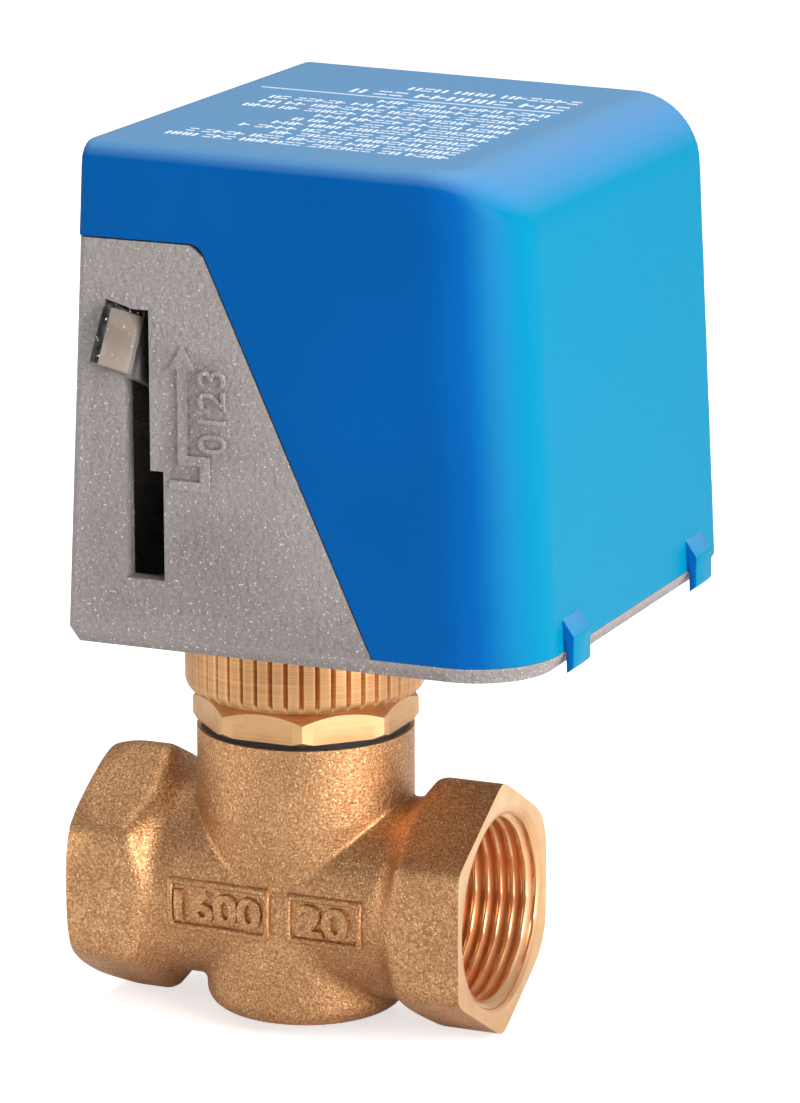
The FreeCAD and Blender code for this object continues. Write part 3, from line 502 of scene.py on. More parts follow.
def rolled_edge_painted_dark():
    """Rolled sheet edge painted dark as a painted reflection of dark surroundings, with bright
    specks as painted glints.
    """
    m = Mat("rolled_edge_painted_dark", srgb(40, 42, 44), metallic=0.5, rough=0.3)
    streak = m.noise(scale=900, rough=0.6)
    # near-black streaked colour: painted dark reflection
    color = m.mix(m.remap(streak, span=(0.4, 0.65)), srgb(30, 32, 34), srgb(74, 74, 74))
    # bright specks: painted glints
    m.base(m.painted_glints(color, srgb(244, 240, 232), scale=1700, span=(0.66, 0.71)))
    m.rough(streak, span=MIDDLE, to=(0.25, 0.45))
    m.bump(streak, depth=0.02, strength=0.5)
    return m.m


def plastic(name, color, rough, light=None, grain=2200, depth=0.02):
    m = Mat(name, srgb(*color), rough=rough)
    fine = m.noise(scale=grain)
    big = m.noise(scale=45)
    light = light or [min(255, int(v * 1.06) + 4) for v in color]
    m.base(m.mix(m.remap(big, span=(0.35, 0.65)), srgb(*color), srgb(*light)))
    m.rough(fine, span=MIDDLE, to=(rough - 0.04, rough + 0.05))
    m.bump(fine, depth=depth, strength=0.35)
    return m.m


def steel(name, color, rough, streak, depth, warm=None):
    """Streaked metal; warm is a second tint in broad patches."""
    m = Mat(name, srgb(*color), metallic=1.0, rough=rough)
    brushing = m.streaks(streak)
    big = m.noise(scale=160)
    mixed = m.mix(m.remap(brushing, span=MIDDLE), srgb(*[max(0, v - 22) for v in color]),
                  srgb(*[min(255, v + 16) for v in color]))
    if warm:
        mixed = m.mix(m.remap(big, span=(0.4, 0.7), to=(0, 0.5)), mixed, srgb(*warm))
    # convex edges lightened: painted highlight
    m.base(m.painted_edge_highlight(mixed, srgb(240, 240, 238), amount=0.4))
    m.rough(big, span=MIDDLE, to=(rough - 0.05, rough + 0.12))
    m.bump(brushing, depth=depth, strength=0.4)
    return m.m


def rubber(name, color):
    m = Mat(name, srgb(*color), rough=0.62, spec=0.4)
    grain = m.noise(scale=1500, detail=3.0, rough=0.6)
    m.base(m.mix(grain, srgb(*color), srgb(*[v + 16 for v in color])))
    m.rough(grain, span=MIDDLE, to=(0.5, 0.75))
    m.bump(grain, depth=0.03, strength=0.5)
    return m.m


MATERIALS = {                                 # by material slot
    "forged_brass": forged_brass(),
    "machined_brass": machined_brass("machined_brass", dark=(188, 134, 86),
                                     light=(218, 168, 118), rough=0.38, streak=ALONG_Z),
    "diecast": diecast(),
    "blue_cover": cover_blue(),
    "nickel": steel("nickel_plate", (206, 200, 190), rough=0.16, streak=(900, 900, 60),
                    depth=0.004, warm=(176, 164, 146)),
    "zinc_sheet": steel("zinc_sheet", (196, 198, 204), rough=0.32, streak=(60, 60, 1800),
                        depth=0.01, warm=(190, 190, 170)),
    "steel": steel("bright_steel", (176, 176, 180), rough=0.26, streak=(3000, 50, 50),
                   depth=0.008),
    "spring_steel": steel("spring_steel", (120, 120, 126), rough=0.3,
                          streak=(1200, 1200, 1200), depth=0.01),
    "gear_plastic": plastic("acetal", (232, 228, 214), rough=0.4, light=(240, 236, 224),
                            grain=2000),
    "gear_brass": machined_brass("gear_brass", dark=(206, 160, 84), light=(236, 196, 120),
                                 rough=0.28, streak=ALONG_X),
    "seal_rubber": rubber("seal_rubber", (16, 16, 17)),
    "motor_steel": steel("motor_steel", (190, 192, 198), rough=0.35, streak=(2000, 80, 80),
                         depth=0.01),
    "terminal_plastic": plastic("terminal_plastic", (226, 226, 218), rough=0.42),
    "cable_pvc": rubber("cable_pvc", (24, 24, 26)),
    "wire_pvc": plastic("wire_pvc", (150, 40, 28), rough=0.35),
}
WHITE_INK = plastic("white_ink", (240, 244, 250), rough=0.5, light=(226, 234, 246),
                    grain=1800, depth=0.01)


def dress_cad_parts():
    slots = {part["node"]: part["material_slot"] for part in frame["record"]["subparts"]}
    for name, ob in NODES.items():
        material = MATERIALS[slots[name]]
        if not ob.data.materials:
            ob.data.materials.append(material)
        for slot in ob.material_slots:
            slot.material = material


# ------------------------------------------------------------------ valve body
BARREL_R, NECK_R, BOSS_R = 13.4, 14.37, 13.3
HEX_HALF = 17.53 * math.cos(math.radians(30))  # half across flats
NECK_TOP = 22.45
PORT_R, PORT_DEPTH = 8.6, 12.0                # bore behind each thread; thread length
CHAMBER_R, CHAMBER_FLOOR, CHAMBER_ROOF = 9.6, 1.6, -1.4   # upper floor, lower roof


def body_sdf(x, y, z):
    run_r, stem_r, reach = np.sqrt(y * y + z * z), np.sqrt(x * x + y * y), np.abs(x)
    left = x < 0
    barrel = np.maximum(run_r - BARREL_R, reach - 24)
    # hexagonal ends: the right one has softer corners toward the back
    back = np.clip((y - 1.0) / 6.0, 0, 1) * (x > 0)
    corner = np.where(left, 1.3, 0.8 + 1.6 * back)
    c, s = 0.5, math.sqrt(3) / 2
    flats = [np.abs(side) - HEX_HALF for side in (y, y * c + z * s, y * c - z * s)]
    ends = smax(smax(flats[0], flats[1], corner), flats[2], corner)
    # turned at the outer corners, chamfered on the left end, tapered down to the barrel
    ends = smax(ends, run_r - np.where(left, 17.42, 17.3 - 1.0 * back), 0.8)
    chamfer = (reach - 26.0) * 0.42 + (run_r - 17.1) * 0.91
    ends = smax(ends, np.where(left, chamfer, -5.0), 1.2)
    ends = smax(ends, (18.0 - reach) * 0.86 + (run_r - 15.2) * 0.51, 1.3)
    ends = np.maximum(ends, reach - (HALF_RUN + 0.9))
    neck_r = NECK_R - 1.35 * np.clip((12.0 - z) / 12.0, 0, 1)
    neck = np.maximum(smax(stem_r - neck_r, z - 23.6, 0.3), -z - 1.0)
    boss = np.maximum(smax(stem_r - BOSS_R, -z - 15.9, 2.4), z - 2.0)
    return smin(smin(smin(barrel, ends, 1.9), neck, 0.35), boss, 0.8)


THREAD_PITCH, THREAD_MAJOR = 1.814, 13.22
THREAD_MINOR = {1: 12.06, -1: 12.23}          # radius by side of the stem
FADE_START, FADE_LENGTH = 11.2, 1.2           # depth where the thread runs out


def mouth_r(depth):
    """Radius of the two-step chamfer at a port's mouth."""
    return 13.9 - depth * 2.4 if depth < 0.4 else 12.94 - (depth - 0.4) * 0.95


def thread_cutter(sign):
    """Core with a helical 55 degree thread, its crests and roots cut flat."""
    n = 96
    minor = THREAD_MINOR[sign]
    height = THREAD_MAJOR - minor
    flank = height * math.tan(math.radians(27.5)) / THREAD_PITCH
    depths = np.arange(0, 13.0 + THREAD_PITCH, THREAD_PITCH / 14)
    verts = []
    for depth in depths:
        for i, (cos, sin) in enumerate(circle(1.0, n)):
            phase = ((depth - THREAD_PITCH * i / n) / THREAD_PITCH) % 1.0
            rise = (flank + 0.06 - abs(phase - 0.5)) / flank
            r = minor + height * max(0.0, min(1.0, rise))
            if depth > FADE_START:
                r = minor + (r - minor) * max(0, 1 - (depth - FADE_START) / FADE_LENGTH)
            if depth < 1.4:
                r = max(r, mouth_r(depth))
            if depth == depths[-1]:
                r = minor
            verts.append((sign * (HALF_RUN - depth), r * cos, r * sin))
    rings = len(depths)
    outer = rings * n                         # first vertex of the ring outside the port
    verts += [(sign * (HALF_RUN + 2), y, z) for y, z in circle(15.6, n)]
    faces = stitch(rings, n)
    faces += [(outer + i, outer + (i + 1) % n, (i + 1) % n, i) for i in range(n)]
    faces += [tuple(range(outer, outer + n))[::-1], tuple(range(outer - n, outer))]
    ob = make_object("cutter", verts, faces)
    orient_faces(ob, split_quads=True)
    return ob


def body_cutters():
    for sign in (-1, 1):
        x0, x1 = sorted((sign * HALF_RUN, sign * (HALF_RUN + 9)))
        yield box(x0, x1, -30, 30, -30, 30)
        yield thread_cutter(sign)
    yield box(-20, 20, -20, 20, NECK_TOP, 40)
    yield cylinder(11.0, (0, 0, 14), (0, 0, 30))
    yield cylinder(CHAMBER_R, (0, 0, CHAMBER_FLOOR), (0, 0, 14.5))
    yield cylinder(CHAMBER_R, (0, 0, -12.4), (0, 0, CHAMBER_ROOF))
    yield cylinder(7.0, (0, 0, -3), (0, 0, 3))
    for sign in (-1, 1):
        yield cylinder(PORT_R, (sign * 10.8, 0, 0), (sign * (HALF_RUN - PORT_DEPTH), 0, 0))
    # half-round passages: the right port opens to the upper chamber, the left to the lower
    right = cylinder(PORT_R, (0, 0, 0), (11.5, 0, 0))
    yield carve(right, [box(-5, 20, -20, 20, -20, CHAMBER_FLOOR)], sharp=35)
    left = cylinder(PORT_R, (0, 0, 0), (-11.5, 0, 0))
    yield carve(left, [box(-20, 5, -20, 20, CHAMBER_ROOF, 20)], sharp=35)


def finish_turned_faces(ob):
    """Turned brass on port ends, chamfers, threads, inner chambers and the neck's top."""
    ob.data.materials.append(machined_brass("turned_port", dark=(236, 172, 122),
                                            light=(250, 212, 164), rough=0.34, streak=ALONG_X))
    centres = np.empty(len(ob.data.polygons) * 3)
    ob.data.polygons.foreach_get("center", centres)
    x, y, z = (centres.reshape(-1, 3) * 1000 - [STEM_X, 0, 0]).T
    reach, run_r = np.abs(x), np.hypot(y, z)
    thread = (run_r < 13.3) & (reach > 13.8)
    mouth = (run_r < 14.0) & (reach > HALF_RUN - 1.6)
    port_end = reach > HALF_RUN - 0.05
    neck = (z > 22.4) | ((np.hypot(x, y) < 11.1) & (z > 13.9))
    chamber = (reach < 15) & (run_r < 9.8)
    turned = thread | mouth | port_end | neck | chamber
    ob.data.polygons.foreach_set("material_index", turned.astype(int))
    ob.data.update()


def build_body():
    verts, faces = surface_nets(body_sdf, (-30.5, -19.5, -19.5), (30.5, 19.5, 25.5),
                                cell=0.36, steps=4)
    ob = make_object("valve_forging", verts, faces, 60)
    carve(ob, body_cutters(), sharp=32)
    piece(ob, "body", "forged_brass", replaced="valve_body")
    finish_turned_faces(ob)


# ------------------------------------------------------------------ relief figures
def text_mesh(name, text, size, depth, bevel, spacing, offset, width, height):
    """Solid figures centred on their own box and scaled to width and height."""
    curve = bpy.data.curves.new(name, "FONT")
    curve.body, curve.size, curve.extrude = text, size / 1000, depth / 2000
    curve.bevel_depth, curve.bevel_resolution = bevel / 1000, 1
    curve.space_character, curve.offset = spacing, offset / 1000
    curve.align_x, curve.align_y = "CENTER", "CENTER"
    ob = bpy.data.objects.new(name, curve)
    bpy.context.scene.collection.objects.link(ob)
    mesh = evaluated_mesh(ob)
    bpy.data.objects.remove(ob)
    bm = bmesh.new()
    bm.from_mesh(mesh)
    bmesh.ops.remove_doubles(bm, verts=bm.verts, dist=2e-6)
    bmesh.ops.triangulate(bm, faces=bm.faces)
    verts, faces = bmesh_arrays(bm)
    verts *= 1000
    for axis, length in enumerate((width, height)):
        low, high = verts[:, axis].min(), verts[:, axis].max()
        verts[:, axis] = (verts[:, axis] - (low + high) / 2) * (length / (high - low))
    return verts, faces


def bmesh_arrays(bm):
    """Vertices and faces of a bmesh, which is freed."""
    bm.verts.index_update()
    verts = np.array([v.co[:] for v in bm.verts])
    faces = [[v.index for v in f.verts] for f in bm.faces]
    bm.free()
    return verts, faces


def subdivide(verts, faces, longest):
    """Split edges longer than longest, so that the mesh can follow a curve."""
    bm = bmesh.new()
    points = [bm.verts.new(v) for v in verts]
    for f in faces:
        try:
            bm.faces.new([points[i] for i in f])
        except ValueError:                    # guards against a face given twice
            pass
    for _ in range(5):
        long = [e for e in bm.edges if e.calc_length() > longest]
        if not long:
            break
        bmesh.ops.subdivide_edges(bm, edges=long, cuts=1)
        bmesh.ops.triangulate(bm, faces=[f for f in bm.faces if len(f.verts) > 3])
    bmesh.ops.recalc_face_normals(bm, faces=bm.faces)
    return bmesh_arrays(bm)


def on_barrel(name, verts, faces, x, z):
    """Wrap a flat mesh (x right, y up, z outward) on the body's front and make it brass."""
    verts, faces = subdivide(verts, faces, longest=1.2)
    xs, zs = verts[:, 0] + x, verts[:, 1] + z
    ys = np.full(len(xs), -20.0)
    for _ in range(60):                       # march back until the surface is met
        ys = ys + body_sdf(xs, ys, zs) * 0.8
    ob = make_object(name, np.stack([xs, ys - verts[:, 2], zs], 1), faces, 40)
    piece(ob, "body", "forged_brass")


def frame_mesh(w, h, band=0.85, depth=0.55, chamfer=0.18):
    """Closed rectangular band with chamfered outer face and rounded corners."""
    def shrink(points, s):
        return [(x + s * (1 if x < 0 else -1), y + s * (1 if y < 0 else -1)) for x, y in points]

    outer = round_poly(rectangle(-w / 2, w / 2, -h / 2, h / 2), [0.5] * 4, 3)
    inner = round_poly(rectangle(-w / 2 + band, w / 2 - band, -h / 2 + band, h / 2 - band),
                       [0.15] * 4, 3)
    rings = [(outer, -depth), (outer, depth - chamfer), (shrink(outer, chamfer), depth),
             (shrink(inner, -chamfer), depth), (inner, depth - chamfer), (inner, -depth)]
    verts = [(x, y, z) for points, z in rings for x, y in points]
    return np.array(verts), stitch(len(rings), len(outer), wrap=True)


BARREL_FIGURES = (                            # name, text, text width, centre x, box width, height
    ("cast_figures_left", "1600", 12.6, -6.65, 14.9, 7.1),
    ("cast_figures_right", "20", 7.4, 8.4, 10.9, 6.8),
)


def build_barrel_figures():
    for name, text, width, x, box_w, box_h in BARREL_FIGURES:
        on_barrel(name + "_box", *frame_mesh(box_w, box_h), x=x, z=-0.35)
        figures = text_mesh(name, text, size=5.9, depth=1.0, bevel=0.16, spacing=1.02,
                            offset=0.08, width=width, height=4.5)
        on_barrel(name, *figures, x=x, z=-0.35)


def build_slot_figures():
    """Figures on the front of the base, reading upward."""
    verts, faces = text_mesh("slot_figures", "0123", size=4.6, depth=0.5, bevel=0.14,
                             spacing=1.0, offset=-0.12, width=10.6, height=3.8)
    x, y, z = verts.T
    placed = np.stack([2.9 - y, -COVER_Y - 0.02 - z, 71.5 + x], 1)
    ob = make_object("slot_figures", placed, faces, 40)
    orient_faces(ob)
    piece(ob, "body", "diecast")


# ------------------------------------------------------------------ knurled union nut
NUT_R, NUT_LOW, NUT_TOP = 15.85, 27.6, 39.7
NUT_BORE, NUT_THREAD, NUT_ROOT = 9.06, 12.7, 13.15
RIBS = 48
NUT_PROFILE = [                               # radius, height
    (14.9, NUT_LOW), (15.25, NUT_LOW + 0.25), (15.55, NUT_LOW + 0.6), (15.75, NUT_LOW + 1.0),
    (NUT_R, NUT_LOW + 1.4), (NUT_R, NUT_LOW + 5), (NUT_R, NUT_LOW + 8),
    (NUT_R, NUT_TOP - 0.7), (NUT_R - 0.12, NUT_TOP - 0.3), (NUT_R - 0.5, NUT_TOP),
    (NUT_BORE, NUT_TOP), (NUT_BORE, 36.6), (NUT_THREAD, 36.6),
    (NUT_THREAD, 33.4), (NUT_ROOT, 33.0), (NUT_THREAD, 32.6),
    (NUT_THREAD, 31.9), (NUT_ROOT, 31.5), (NUT_THREAD, 31.1),
    (NUT_THREAD, 30.4), (NUT_ROOT, 30.0), (NUT_THREAD, 29.6),
    (NUT_THREAD, NUT_LOW + 0.5), (13.2, NUT_LOW),
]


def knurl(r, t):
    """Flat-topped ribs between narrow round-bottomed grooves, on the outer skin only."""
    if r < 14.6:
        return r
    q = abs((t * RIBS / (2 * math.pi)) % 1.0 - 0.5) * 2
    groove = 0.0 if q < 0.62 else 0.5 * (1 - math.cos((q - 0.62) / 0.38 * math.pi))
    fade = min(1.0, max(0.0, (NUT_R + 0.02 - r) / 0.7))
    return r - 0.62 * groove * max(0, 1 - fade * 1.2)


def build_nut():
    ob = revolve("knurled_nut", NUT_PROFILE[::-1], RIBS * 12, smooth=38, radius_at=knurl)
    piece(ob, "union_nut", "machined_brass", replaced="coupling_nut")


# ------------------------------------------------------------------ cover
COVER_LEFT, COVER_RIGHT, COVER_Y = -17.9, 45.0, 33.9   # at the base; half depth
COVER_BASE, COVER_TOP = 39.9, 104.5
RIM = 42.0 + 0.05                             # lower edge of the shell
WALL = 2.0
DRAFT_LEFT, DRAFT_RIGHT, TOP_FALL = (math.radians(a) for a in (2.83, 2.97, 1.1))
PLATE_TOP, PLATE_GAP = 92.3, 0.22             # base's front plate and the gap round it


def top_z(x):
    return COVER_TOP - math.tan(TOP_FALL) * (x - COVER_LEFT)


def cover_sdf(offset):
    """Drafted box grown by offset, with its top edge rounder on the right than in front."""
    def field(x, y, z):
        rise = z - COVER_BASE
        front, back = -y - COVER_Y, y - COVER_Y
        right = (x - COVER_RIGHT + math.tan(DRAFT_RIGHT) * rise) * math.cos(DRAFT_RIGHT)
        left = (COVER_LEFT + math.tan(DRAFT_LEFT) * rise - x) * math.cos(DRAFT_LEFT)
        top = (z - top_z(x)) * math.cos(TOP_FALL)
        k = 11.0                              # front right corner radius
        u, v = np.maximum(right + k, 0), np.maximum(front + k, 0)
        side = smax(right, front, k)
        w = np.clip(np.arctan2(u, np.maximum(v, 1e-6)) / (math.pi / 2), 0, 1)
        w = np.where(u <= 0, 0.0, np.where(v <= 0, 1.0, w))
        w = w * w * (3 - 2 * w)               # 0 on the front, 1 on the right
        d = smax(side, top, 2.6 + (8.5 - 2.6) * w)
        return smax(smax(d, back, 1.0), left, 0.7) - offset
    return field


def plate_cutter():
    """Front opening left of a slanted edge, a gap wider than the base's plate."""
    x_top, x_low, z_low, bottom = 1.2, 24.4, 41.7, 25
    slope = (x_low - x_top) / (PLATE_TOP - z_low)
    shift = PLATE_GAP * math.hypot(1, slope)
    top = PLATE_TOP + PLATE_GAP
    outline = [(-60, bottom), (x_low + shift + (z_low - bottom) * slope, bottom),
               (x_top + shift - PLATE_GAP * slope, top), (-60, top)]
    return prism("cutter", round_poly(outline, [0, 0, 2.4, 0], 6), "Y",
                 -COVER_Y - 8, -COVER_Y + 6)


def snap_tab(name, face, lean, axis, start, end):
    """Tab hanging outside a wall whose outer face is at face; lean insets its upper end."""
    outline = [(face + 0.1, 39.2), (face + 1.15, 40.1), (face + 1.15, 44.0),
               (face - lean, 46.2), (face - 0.9, 46.2), (face - 0.9, RIM), (face, RIM)]
    piece(prism(name, outline, axis, start, end, bevel=0.25), "cover_shell", "blue_cover")


def build_cover():
    verts, faces = surface_nets(cover_sdf(0.0), (-20, -36, 36.0), (47, 36, 107),
                                cell=0.55, steps=6)
    ob = make_object("cover_shell_skin", verts, faces, 40)
    cavity = surface_nets(cover_sdf(-WALL), (-20, -36, 35.0), (47, 36, 107), cell=1.1, steps=4)
    carve(ob, [
        make_object("cutter", *cavity),
        box(-60, 80, -60, 60, 20, RIM),
        plate_cutter(),
        box(-60, COVER_LEFT + 6.6, -COVER_Y - 8, COVER_Y - 5.8, 20, PLATE_TOP + PLATE_GAP),
    ], sharp=40)
    bake_bevel(ob, 0.22, angle=50)
    piece(ob, "cover_shell", "blue_cover", replaced="cover")
    for i, (y0, y1) in enumerate(((-21.2, -15.4), (22.5, 28.3))):
        snap_tab("snap_tab_right_%d" % i, COVER_RIGHT + 0.12, 0.35, "Y", y0, y1)
    for i, (x0, x1) in enumerate(((-12.0, -6.0), (24.0, 30.0))):
        snap_tab("snap_tab_back_%d" % i, COVER_Y + 0.12, 0.05, "X", x0, x1)


# ------------------------------------------------------------------ printed bars on the cover's top
SMALL_ROWS = (                                # y, left end
    (-24.6, -9.1), (-21.5, -7.2), (-18.4, 3.0), (-15.2, -3.3), (-11.8, 0.7), (-8.6, 1.4),
    (-5.2, 3.5), (-1.8, -9.3), (1.6, -7.8), (5.0, -7.1), (8.3, 6.0),
)


def print_bars(name, rects):
    """Thin boxes on the sloping top, one for each (x0, x1, y0, y1)."""
    verts, faces = [], []
    for rect in rects:
        faces += prism_faces(4, first=len(verts))
        for height in (-0.25, 0.06):
            verts += [(x, y, top_z(x) + height) for x, y in rectangle(*rect)]
    piece(make_object(name, verts, faces, 0), "cover_shell", "blue_cover", WHITE_INK)


def bar_row(rng, y, left, right, w, h, stroke):
    """Pairs of strokes in random groups, set from right to left."""
    out, x = [], right
    while x - w > left:
        for _ in range(rng.choice([2, 3, 4, 5, 6, 7])):
            if x - w < left:
                break
            kind = rng.random()
            upright = (x - w, x - w + stroke, y, y + h)
            if kind < 0.35:
                out += [(x - w, x, y, y + stroke), (x - w, x, y + h - stroke, y + h)]
            elif kind < 0.7:
                out += [upright, (x - stroke, x, y, y + h)]
            else:
                middle = y + h / 2
                out += [upright, (x - w + stroke * 1.4, x,
                                  middle - stroke / 2, middle + stroke / 2)]
            x -= w * 1.28
        x -= w * 0.7
    return out


def build_print():
    rng = random.Random(7)
    small = []
    for y, left in SMALL_ROWS:
        small += bar_row(rng, y, left, right=30.3, w=1.12, h=1.75, stroke=0.34)
    print_bars("print_rows_small", small)
    print_bars("print_rule", [(-11.2, 30.7, 11.8, 12.15)])
    large = bar_row(rng, 13.9, 0.1, right=30.4, w=1.75, h=2.6, stroke=0.5)
    large += bar_row(rng, 18.9, 5.2, right=30.4, w=1.45, h=2.0, stroke=0.4)
    print_bars("print_rows_large", large)


# ------------------------------------------------------------------ manual lever
PIVOT_Y, PIVOT_Z = 5.0, 63.5
LEVER_X0, LEVER_X1 = -8.3, -7.1               # faces of the sheet
SHEET = LEVER_X1 - LEVER_X0
ARM_RISE = math.radians(22)                   # arm's slope up toward the front
TAB_Y, TAB_Z = -34.63, 79.24                  # origin of the leaning tab
TAB_LEAN, TAB_BEND = math.radians(32.4), math.radians(50)
TAB_DOWN, TAB_UP = 3.8, 4.7                   # tab's width below and above its origin
BORE_R, COLLAR_R = 2.04, 3.6                  # lever hub


def on_arm(along, across):
    """(y, z) of a point in the arm's own frame."""
    cos, sin = math.cos(ARM_RISE), math.sin(ARM_RISE)
    return (PIVOT_Y - along * cos + across * sin, PIVOT_Z + along * sin + across * cos)


def on_tab(along, across):
    """(y, z) of a point in the tab's leaning frame."""
    cos, sin = math.cos(TAB_LEAN), math.sin(TAB_LEAN)
    return (TAB_Y - along * cos + across * sin, TAB_Z + along * sin + across * cos)


def tab_path(steps):
    """(x, along) centre line: straight, round the bend to the left, straight to the tip."""
    x, radius, bend_at = (LEVER_X0 + LEVER_X1) / 2, 1.0, -0.28
    tangent = radius * math.tan(TAB_BEND / 2)
    start = bend_at - tangent
    path = [(x, -1.6), (x, -1.1), (x, start)]
    for i in range(1, steps + 1):
        a = TAB_BEND * i / steps
        path.append((x - radius * (1 - math.cos(a)), start + radius * math.sin(a)))
    end_x, end_along = path[-1]
    length = 4.72 - tangent
    to_tip = [length * q for q in (0.85, 0.7, 0.55, 0.42)]
    to_tip += [1.5, 1.3, 1.1, 0.95, 0.8, 0.65, 0.5, 0.38, 0.27, 0.18, 0.1, 0.04, 0.0]
    path += [(end_x - math.sin(TAB_BEND) * (length - e),
              end_along + math.cos(TAB_BEND) * (length - e)) for e in to_tip]
    return np.array(path)


def roll_drop(distance, radius):
    """How far a rolled edge falls away at a distance from the tip."""
    return radius - math.sqrt(max(radius * radius - (radius - min(distance, radius)) ** 2, 0))


def tab_ring(to_tip):
    """(across the sheet, height) section of the tab, its upper edge rolled over."""
    half, roll, b = SHEET / 2, 0.85, 0.1
    face = half - roll_drop(to_tip, roll)
    top, low = TAB_UP - roll_drop(to_tip, 1.3), -TAB_DOWN + roll_drop(to_tip, 0.35)
    ring = [(-half, low + b), (-half + b, low), (max(face - 0.12, -half + b), low),
            (face, low + 0.12), (face, top - roll)]
    for i in range(1, 7):
        a = i * math.pi / 12
        ring.append((max(face - roll * (1 - math.cos(a)), -half + b),
                     top - roll + roll * math.sin(a)))
    return ring + [(-half + b * 0.99, top), (-half, top - b)]


def tab_mesh():
    """Sheet swept to the tab's tip, and a material for each face: 0 tab, 1 edge in painted dark
    reflection, 2 arm in painted shade.
    """
    steps = 8
    path = tab_path(steps)
    tangent = np.gradient(path, axis=0)
    tangent[steps + 3:] = (-math.sin(TAB_BEND), math.cos(TAB_BEND))
    tangent /= np.linalg.norm(tangent, axis=1, keepdims=True)
    normal = np.stack([tangent[:, 1], -tangent[:, 0]], 1)
    lengths = np.linalg.norm(np.diff(path, axis=0), axis=1)
    to_tip = np.concatenate([[0], np.cumsum(lengths)])
    to_tip = to_tip[-1] - to_tip
    verts, tags = [], []
    for p, out, distance in zip(path, normal, to_tip):
        ring = tab_ring(distance)
        for across, height in ring:
            verts.append((p[0] + out[0] * across, *on_tab(p[1] + out[1] * across, height)))
    sides, rings = len(ring), len(path)
    for k in range(rings - 1):
        near_tip = (to_tip[k] + to_tip[k + 1]) / 2 < 0.8
        for j in range(sides):
            edge = 4 <= j <= 11 or (j == 3 and near_tip)
            # faces up to the middle of the bend take the arm's painted shade
            tags.append(1 if edge else (2 if k < steps // 2 + 1 else 0))
    faces = stitch(rings, sides)
    faces += [tuple(range(sides))[::-1], tuple(range((rings - 1) * sides, rings * sides))]
    return verts, faces, tags + [2, 1]


def build_lever():
    verts, faces, tags = tab_mesh()
    tab = make_object("lever_tab", verts, faces, 40)
    orient_faces(tab)
    shade(tab.data, 40)
    # a dark copy of the nickel: painted shade on the arm and the bend, which sit in the slot's
    # shadow
    arm_nickel_painted_shade = steel("arm_nickel_painted_shade", (92, 92, 92), rough=0.4, streak=(900, 900, 60),
                       depth=0.004)
    piece(tab, "output_shaft", "nickel", tab_nickel(), replaced="manual_lever")
    # the tab's rolled edge: painted dark reflection
    tab.data.materials.append(rolled_edge_painted_dark())
    tab.data.materials.append(arm_nickel_painted_shade)
    tab.data.polygons.foreach_set("material_index", np.array(tags, int))
    tab.data.update()
    outline = [on_arm(2.0, -5.5), on_arm(10, -5.0), on_arm(24, -4.5), on_tab(-0.25, -TAB_DOWN),
               on_tab(-0.25, TAB_UP), on_arm(20, 4.5), on_arm(2.0, 5.5)]
    arm = prism("lever_arm", outline, "X", LEVER_X0 + 0.01, LEVER_X1 - 0.01, bevel=0.12)
    piece(arm, "output_shaft", "nickel", arm_nickel_painted_shade)
    hubs = {                                  # radius, x
        "lever_hub": [(BORE_R, LEVER_X0), (5.8, LEVER_X0), (5.8, LEVER_X1),
                      (COLLAR_R, LEVER_X1), (COLLAR_R, -5.6), (BORE_R, -5.6)],
        "lever_hub_collar": [(BORE_R, -9.2), (COLLAR_R, -9.2), (COLLAR_R, LEVER_X0),
                             (BORE_R, LEVER_X0)],
    }
    for name, profile in hubs.items():
        hub = revolve(name, profile, 64, "X")
        hub.data.transform(Matrix.Translation((0, PIVOT_Y / 1000, PIVOT_Z / 1000)))
        piece(hub, "output_shaft", "nickel")


# ------------------------------------------------------------------ stage, light, camera
def build_floor():
    z = CAD_BOUNDS[0][2] - 0.0002
    mesh = bpy.data.meshes.new("floor")
    mesh.from_pydata([(x, y, z) for x, y in rectangle(-6, 6, -6, 6)], [], [(0, 1, 2, 3)])
    floor = bpy.data.objects.new("floor", mesh)
    bpy.context.scene.collection.objects.link(floor)
    m = Mat("floor", (0.9, 0.9, 0.9, 1), rough=0.7, spec=0.1)
    camera_ray = m.node("ShaderNodeLightPath").outputs["Is Camera Ray"]
    m.shader.inputs["Emission Color"].default_value = (1, 1, 1, 1)
    # the glow is seen by the camera but lights nothing
    m.link(m.remap(camera_ray, span=(0, 1), to=(0, 0.62)), m.shader.inputs["Emission Strength"])
    mesh.materials.append(m.m)


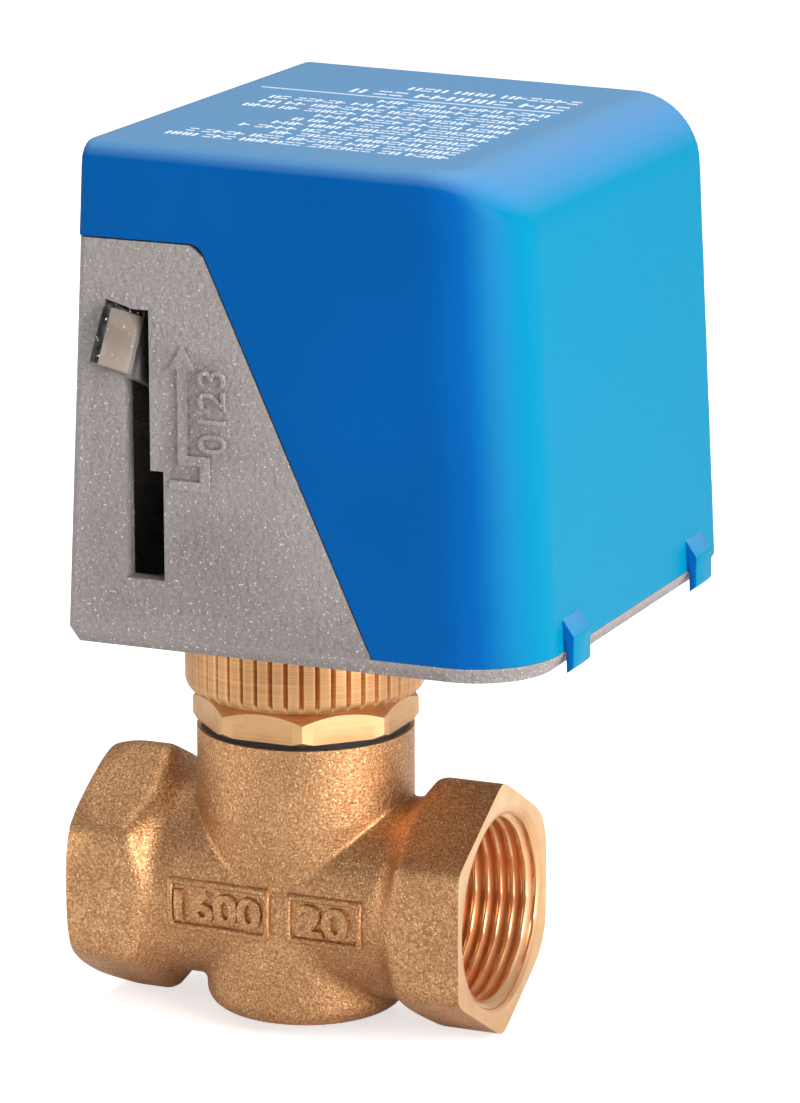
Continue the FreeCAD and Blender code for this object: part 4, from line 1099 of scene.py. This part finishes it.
def build_world():
    """White to the camera, grey to everything else."""
    world = bpy.data.worlds.new("studio")
    bpy.context.scene.world = world
    world.use_nodes = True
    tree = world.node_tree
    background = tree.nodes["Background"]
    camera_ray = tree.nodes.new("ShaderNodeLightPath").outputs["Is Camera Ray"]
    color = mix_color(tree, camera_ray, (0.40, 0.41, 0.42, 1), (1, 1, 1, 1))
    tree.links.new(color, background.inputs["Color"])
    background.inputs["Strength"].default_value = 1.0


def area_light(name, location, size, power, color=(1, 1, 1)):
    """Area light aimed at the valve; metres and watts."""
    light = bpy.data.lights.new(name, "AREA")
    light.energy, light.size, light.color = power, size, color
    ob = bpy.data.objects.new(name, light)
    ob.location = location
    aim = Vector((STEM_X / 1000, 0, 0.05)) - Vector(location)
    ob.rotation_euler = aim.to_track_quat("-Z", "Y").to_euler()
    bpy.context.scene.collection.objects.link(ob)


def build_camera():
    location = Vector((285.69 + STEM_X, -628.56, 220.28)) / 1000
    right = Vector((0.91769, 0.39730, 0.0))
    up = Vector((-0.09751, 0.22522, 0.96942))
    backward = Vector((0.38515, -0.88963, 0.24542))
    roll = math.radians(-0.109)
    rolled_right = right * math.cos(roll) + up * math.sin(roll)
    rolled_up = up * math.cos(roll) - right * math.sin(roll)
    data = bpy.data.cameras.new("cam")
    data.sensor_width = 36
    data.lens = 177.7211315
    data.clip_start, data.clip_end = 0.05, 20
    camera = bpy.data.objects.new("cam", data)
    rotation = Matrix((rolled_right, rolled_up, backward)).transposed().to_4x4()
    camera.matrix_world = Matrix.Translation(location) @ rotation
    bpy.context.scene.collection.objects.link(camera)
    bpy.context.scene.camera = camera


# ------------------------------------------------------------------ build
dress_cad_parts()
build_body()
build_barrel_figures()
build_nut()
build_cover()
build_print()
build_lever()
build_slot_figures()
for part, edge_width in (("base_casting", 0.35), ("bonnet", 0.2)):   # soften the CAD edges
    add_bevel(NODES[part], "edge", edge_width, angle=32)

build_floor()
build_world()
area_light("key_right", (0.60, -0.22, 0.20), size=0.40, power=4.5)
area_light("top", (0.10, 0.06, 0.7), size=0.5, power=2.8)
area_light("front_left", (-0.62, -0.42, 0.06), size=0.40, power=1.7, color=(1.0, 0.98, 0.95))
build_camera()
bpy.context.scene.view_settings.view_transform = "Standard"
